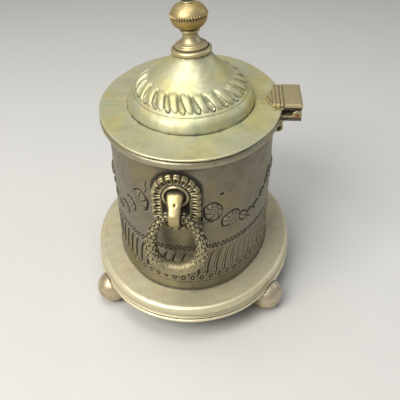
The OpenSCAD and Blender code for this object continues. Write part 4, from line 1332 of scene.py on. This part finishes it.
def make_lid_leaf(sizes):
    """The moving leaf: a pointed tongue, three reeds, a block with an overhanging cap and a knuckle."""
    low, high = span("hinge_lid_leaf")
    top = LID_LOW[2] + sizes.lid_sheet / MM
    half = high[0]
    pin_y, pin_z = PIN[1], PIN[2]
    leaf_top = high[2]
    tongue_y, strip_y, block_y, back_y = low[1], low[1] + 4, low[1] + 10.5, high[1]
    root_y = strip_y + 0.6
    parts = [
        prism([(0, tongue_y), (half - 1.8, root_y), (1.8 - half, root_y)], top, top + 1.9, "z"),
        prism([(0, tongue_y + 1.5), (half - 4.6, root_y), (4.6 - half, root_y)], top, top + 2.5, "z"),
        box_part((1 - half, strip_y, top), (half - 1, block_y + 0.2, top + 1.3)),
        box_part((0.7 - half, block_y, top + 0.2), (half - 0.7, back_y - 0.3, leaf_top - 0.8)),
        box_part((0.2 - half, block_y, leaf_top - 1.9), (half - 0.2, back_y, leaf_top - 0.35)),
        box_part((1.2 - half, block_y + 1.0, leaf_top - 1), (half - 1.2, back_y - 1.0, leaf_top - 0.12)),
        prism(circle(pin_y, pin_z, 2.8), -6.3, 6.3, "x"),
        box_part((-6.3, pin_y - 2.8, pin_z), (6.3, pin_y + 2.8, top + 1))]
    for place, r in ((0.95, 0.95), (3.05, 1.25), (5.25, 0.95)):
        reed = circle(strip_y + place, leaf_top - 0.05 - r, r, 24)
        parts.append(prism(reed, 0.9 - half, half - 0.9, "x"))

    def painted_shade(points):
        # Painted shade on the end faces under the cap, and in the valleys between the reeds.
        ends = smooth(half - 1.6, half - 0.9, np.abs(points[:, 0]))
        under = 1 - smooth(leaf_top - 2.3, leaf_top - 1.8, points[:, 2])
        back = smooth(block_y - 0.5, block_y, points[:, 1])
        valleys = hump(points[:, 1] - block_y + 0.1, 0.35) + hump(points[:, 1] - strip_y - 1.95, 0.25)
        valleys = valleys + hump(points[:, 1] - strip_y - 4.3, 0.25)
        return 0.85 * ends * under * (0.4 + 0.6 * back) + 0.35 * valleys

    cast("hinge_leaf_upper", parts, 0.17, "lid", "brass_pale", ["hinge_lid_leaf"], dark=painted_shade)


def make_drum_leaf():
    """The fixed leaf: a plate out from the rim and a barrel at each side."""
    high = span("hinge_drum_leaf")[1]
    half = high[0]
    pin_y, pin_z = PIN[1], PIN[2]
    barrel_r = high[1] - pin_y
    rim_y = DRUM_HIGH[1] + RIM_OUT
    plate = 3.4
    parts = [box_part((-half, rim_y - 2.0, pin_z - plate), (half, pin_y - barrel_r - 0.2, pin_z - 0.35))]
    root, tail = pin_y - barrel_r - 0.6, high[1] - 0.15
    for side in (-1, 1):
        x = sorted((side * 6.6, side * half))
        parts.append(prism(circle(pin_y, pin_z, barrel_r), x[0], x[1], "x"))
        parts.append(box_part((x[0], root, pin_z - plate), (x[1], pin_y + 0.6, pin_z - 0.35)))
        parts.append(box_part((x[0], pin_y - 0.2, pin_z - plate), (x[1], tail, pin_z - 1.2)))
    # Painted shade on the plate's end faces below the pin.
    cast("hinge_leaf_lower", parts, 0.17, "drum", "brass_dull", ["hinge_drum_leaf"],
         dark=lambda p: 0.6 * smooth(half - 0.25, half - 0.05, np.abs(p[:, 0])) * (p[:, 2] < pin_z - 1.0))
    reach = span("hinge_pin")[1][0]
    head = [(0.05, 0.25), (0.7, 0.2), (1.25, 0), (1.3, -0.35), (1.18, -0.5)]
    profile = np.array([(r, -reach - z) for r, z in head] + [(r, reach + z) for r, z in head[::-1]])
    turn = Matrix.Translation(Vector(PIN) * MM) @ Matrix.Rotation(math.radians(90), 4, "Y")
    Shell().grid(turned(profile, 40), capped=True).piece(
        "hinge_pin_peened", "drum", "copper_pin", finish("copper_pin"), ["hinge_pin"], 2, 0.1, matrix=turn)


def ribbon(path, widths, thick):
    """A chain of tapered links along a path in Y and Z, as stock for a curled leaf."""
    parts = []
    for (a, b), width in zip(zip(path, path[1:]), widths):
        a, b = np.array(a), np.array(b)
        across = np.array([-(b - a)[1], (b - a)[0]]) / np.linalg.norm(b - a) * thick / 2
        over = (b - a) * 0.25
        outline = [a - over + across, b + over + across, b + over - across, a - over - across]
        parts.append(prism(outline, -width / 2, width / 2, "x"))
    return parts


def make_scroll():
    """The leaf scroll under the hinge: two curls and small leaf fingers, cast in one."""
    low, high = span("hinge_scroll")
    face, top, bottom = low[1], high[2], low[2]
    reach = high[1] - face
    upper = [(face + 0.3, top - 0.4), (face + 0.5 * reach, top - 0.5)]
    upper += [(y, z) for y, z in arc(face + 0.52 * reach, top - 3.4, 2.9, 80, -190, 16)]
    upper += [(y, z) for y, z in arc(face + 0.52 * reach, top - 3.3, 1.5, 170, -20, 8)]
    lower = [(face + 0.25, top - 5.6)]
    lower += [(y, z) for y, z in arc(face + 0.40 * reach, bottom + 2.9, 2.6, 90, -160, 14)]
    lower += [(y, z) for y, z in arc(face + 0.38 * reach, bottom + 2.7, 1.2, 190, 20, 6)]
    parts = ribbon(upper, np.linspace(8, 4.6, len(upper)), 1.35)
    parts += ribbon(lower, np.linspace(6.4, 3.4, len(lower)), 1.2)
    back = [(face - 0.1, bottom + 1.2), (face + 1.3, bottom + 1.6), (face + 1.5, top - 0.5),
            (face - 0.1, top - 0.2)]
    parts.append(prism(back, -2.6, 2.6, "x"))
    for side in (-1, 1):
        for y, z, turn in ((0.62, -2.2, 40), (0.80, -5.4, -10), (0.55, -8.6, -35)):
            tip = np.array([face + y * reach, top + z])
            way = np.array([math.cos(math.radians(turn)), math.sin(math.radians(turn))])
            x = sorted((side * 1.4, side * 3.6))
            side_way = np.array([-way[1], way[0]])
            outline = [tip - way * 2.4 - side_way * 0.9, tip + way * 0.5, tip - way * 2.4 + side_way * 0.9]
            parts.append(prism(outline, x[0], x[1], "x"))
    cast("hinge_scroll_leafy", parts, 0.16, "drum", "brass_dull", ["hinge_scroll"], 3, 0.09)


# ---- operators ----

def must_add(make, *given):
    """Call one of the functions above, and raise an error where it adds no piece."""
    before = len(bpy.data.objects)
    make(*given)
    if len(bpy.data.objects) == before:
        raise RuntimeError(make.__name__ + " made nothing")


# CAD nodes that keep their own shape, and their metals.
PLAIN_PARTS = {
    "drum_floor": "pewter_dark", "lid_bezel": "pewter_lid", "hook_nuts": "brass_dull",
    "knob_nut": "brass_dull", "knob_screw": "steel", "knob_washer": "steel"}

# The first foot's seed. Each later foot's is ten more.
FOOT_SEED = 101


class OVALBOX_OT_drum(bpy.types.Operator):
    """Make the drum's chased wall"""
    bl_idname = "ovalbox.drum"
    bl_label = "Drum wall"

    def execute(self, context):
        must_add(make_drum, context.scene.box_sizes)
        return {"FINISHED"}


class OVALBOX_OT_stand(bpy.types.Operator):
    """Make the moulded stand and its ball feet"""
    bl_idname = "ovalbox.stand"
    bl_label = "Stand and feet"

    def execute(self, context):
        must_add(make_stand, context.scene.box_sizes)
        feet = [n for n in sorted(frame["nodes"]) if n.startswith("foot_")]
        for number, node in enumerate(feet):
            must_add(make_foot, node, FOOT_SEED + 10 * number)
        return {"FINISHED"}


class OVALBOX_OT_rim(bpy.types.Operator):
    """Make the rolled rim round the drum's mouth"""
    bl_idname = "ovalbox.rim"
    bl_label = "Rim"

    def execute(self, context):
        must_add(make_rim, context.scene.box_sizes)
        return {"FINISHED"}


class OVALBOX_OT_lid(bpy.types.Operator):
    """Make the domed lid with its gadroons"""
    bl_idname = "ovalbox.lid"
    bl_label = "Lid"

    def execute(self, context):
        must_add(make_lid, context.scene.box_sizes)
        return {"FINISHED"}


class OVALBOX_OT_knob(bpy.types.Operator):
    """Make the knob's turned parts"""
    bl_idname = "ovalbox.knob"
    bl_label = "Knob"

    def execute(self, context):
        must_add(make_knob, context.scene.box_sizes)
        return {"FINISHED"}


class OVALBOX_OT_handles(bpy.types.Operator):
    """Make the rosette plates, hooks and wreath rings at both ends"""
    bl_idname = "ovalbox.handles"
    bl_label = "Ring handles"

    def execute(self, context):
        for side in (1, -1):
            must_add(make_plate, side, context.scene.box_sizes)
            must_add(make_hook, side)
            must_add(make_ring, side)
        return {"FINISHED"}


class OVALBOX_OT_hinge(bpy.types.Operator):
    """Make the hinge's two leaves, its pin and its scroll"""
    bl_idname = "ovalbox.hinge"
    bl_label = "Hinge"

    def execute(self, context):
        must_add(make_lid_leaf, context.scene.box_sizes)
        must_add(make_drum_leaf)
        must_add(make_scroll)
        return {"FINISHED"}


class OVALBOX_OT_inner(bpy.types.Operator):
    """Give the plain inner parts their metals"""
    bl_idname = "ovalbox.inner"
    bl_label = "Inner parts"

    def execute(self, context):
        for node, kind in PLAIN_PARTS.items():
            part = frame["nodes"][node]
            part.data.materials.clear()
            part.data.materials.append(finish(kind))
        return {"FINISHED"}


def soft_lamp(name, place, aim, size, power, colour):
    """A large soft lamp that looks at a point."""
    light = bpy.data.lights.new(name, "AREA")
    light.shape = "RECTANGLE"
    light.size, light.size_y = size
    light.energy = power
    light.color = colour
    lamp = bpy.data.objects.new(name, light)
    lamp.location = place
    lamp.rotation_euler = (Vector(aim) - Vector(place)).to_track_quat("-Z", "Y").to_euler()
    bpy.context.scene.collection.objects.link(lamp)


class OVALBOX_OT_stage(bpy.types.Operator):
    """Set up the floor, the lamps and the camera"""
    bl_idname = "ovalbox.stage"
    bl_label = "Floor, lamps and camera"

    def execute(self, context):
        stage = context.scene.box_stage
        mesh = bpy.data.meshes.new("floor")
        half = 4.0
        edge = [(-half, -half, 0), (half, -half, 0), (half, half, 0), (-half, half, 0)]
        mesh.from_pydata(edge, [], [(0, 1, 2, 3)])
        floor = bpy.data.objects.new("floor", mesh)
        bpy.context.scene.collection.objects.link(floor)
        m = Shader("floor_plain")
        place = m.node("ShaderNodeTexCoord", output="Object")
        mottled = m.noise(place, 30, 3.0, 0.5)
        colour = m.blend(mottled, tinted(stage.floor, 0.97, 0.97, 0.97), opaque(stage.floor))
        mesh.materials.append(m.surface(colour, 0.75, 0.0, m.noise(place, 0.8, 2.0, 0.5), 0.02))
        world = bpy.data.worlds.new("room")
        bpy.context.scene.world = world
        world.use_nodes = True
        background = world.node_tree.nodes["Background"]
        background.inputs["Color"].default_value = (0.93, 0.96, 1.0, 1)
        background.inputs["Strength"].default_value = stage.air
        aim = (0, 0, 0.09)
        soft_lamp("key", (0.56, -0.44, 0.80), aim, (0.6, 0.5), stage.key, (1.0, 0.97, 0.90))
        soft_lamp("top", (0.05, -0.1, 0.95), aim, (0.7, 0.5), stage.key * 0.50, (1.0, 0.98, 0.95))
        soft_lamp("side", (-0.3, 0.75, 0.5), aim, (0.35, 0.4), stage.key * 0.08, (0.95, 0.97, 1.0))
        camera = bpy.data.cameras.new("camera")
        camera.lens = stage.lens
        camera.sensor_width = 36
        camera.clip_start = 0.01
        holder = bpy.data.objects.new("camera", camera)
        right = Vector((-0.07003, 0.9975, -0.00989))
        up = Vector((-0.61878, -0.03566, 0.78475))
        forward = Vector((-0.78243, -0.06108, -0.61973))
        holder.matrix_world = Matrix.Translation((0.27947, 0.02623, 0.27072)) @ Matrix(
            (right, up, -forward)).transposed().to_4x4()
        bpy.context.scene.collection.objects.link(holder)
        bpy.context.scene.camera = holder
        bpy.context.scene.view_settings.view_transform = "Standard"
        return {"FINISHED"}


class OVALBOX_PT_panel(bpy.types.Panel):
    """Lists the pieces of the box and the values that shape them"""
    bl_idname = "OVALBOX_PT_panel"
    bl_label = "Oval Lidded Box"
    bl_space_type = "VIEW_3D"
    bl_region_type = "UI"
    bl_category = "Oval Box"

    def draw(self, context):
        for step in STEPS:
            self.layout.operator(step.bl_idname)
        for group in (context.scene.box_sizes, context.scene.box_colours, context.scene.box_stage):
            box = self.layout.box()
            for key in group.__annotations__:
                box.prop(group, key)


STEPS = (
    OVALBOX_OT_stage, OVALBOX_OT_drum, OVALBOX_OT_stand, OVALBOX_OT_rim, OVALBOX_OT_lid, OVALBOX_OT_knob,
    OVALBOX_OT_handles, OVALBOX_OT_hinge, OVALBOX_OT_inner)
GROUPS = {"box_sizes": BoxSizes, "box_colours": BoxColours, "box_stage": BoxStage}


def register():
    for made in (*GROUPS.values(), *STEPS, OVALBOX_PT_panel):
        bpy.utils.register_class(made)
    for name, group in GROUPS.items():
        setattr(bpy.types.Scene, name, PointerProperty(type=group))


def unregister():
    for name in GROUPS:
        delattr(bpy.types.Scene, name)
    for made in (OVALBOX_PT_panel, *reversed(STEPS), *GROUPS.values()):
        bpy.utils.unregister_class(made)


def corners(box):
    """A box's corners as plain lists."""
    return [[float(v) for v in corner] for corner in box]


def main():
    register()
    for step in STEPS:
        group, name = step.bl_idname.split(".")
        getattr(getattr(bpy.ops, group), name)()


if __name__ == "__main__":
    main()
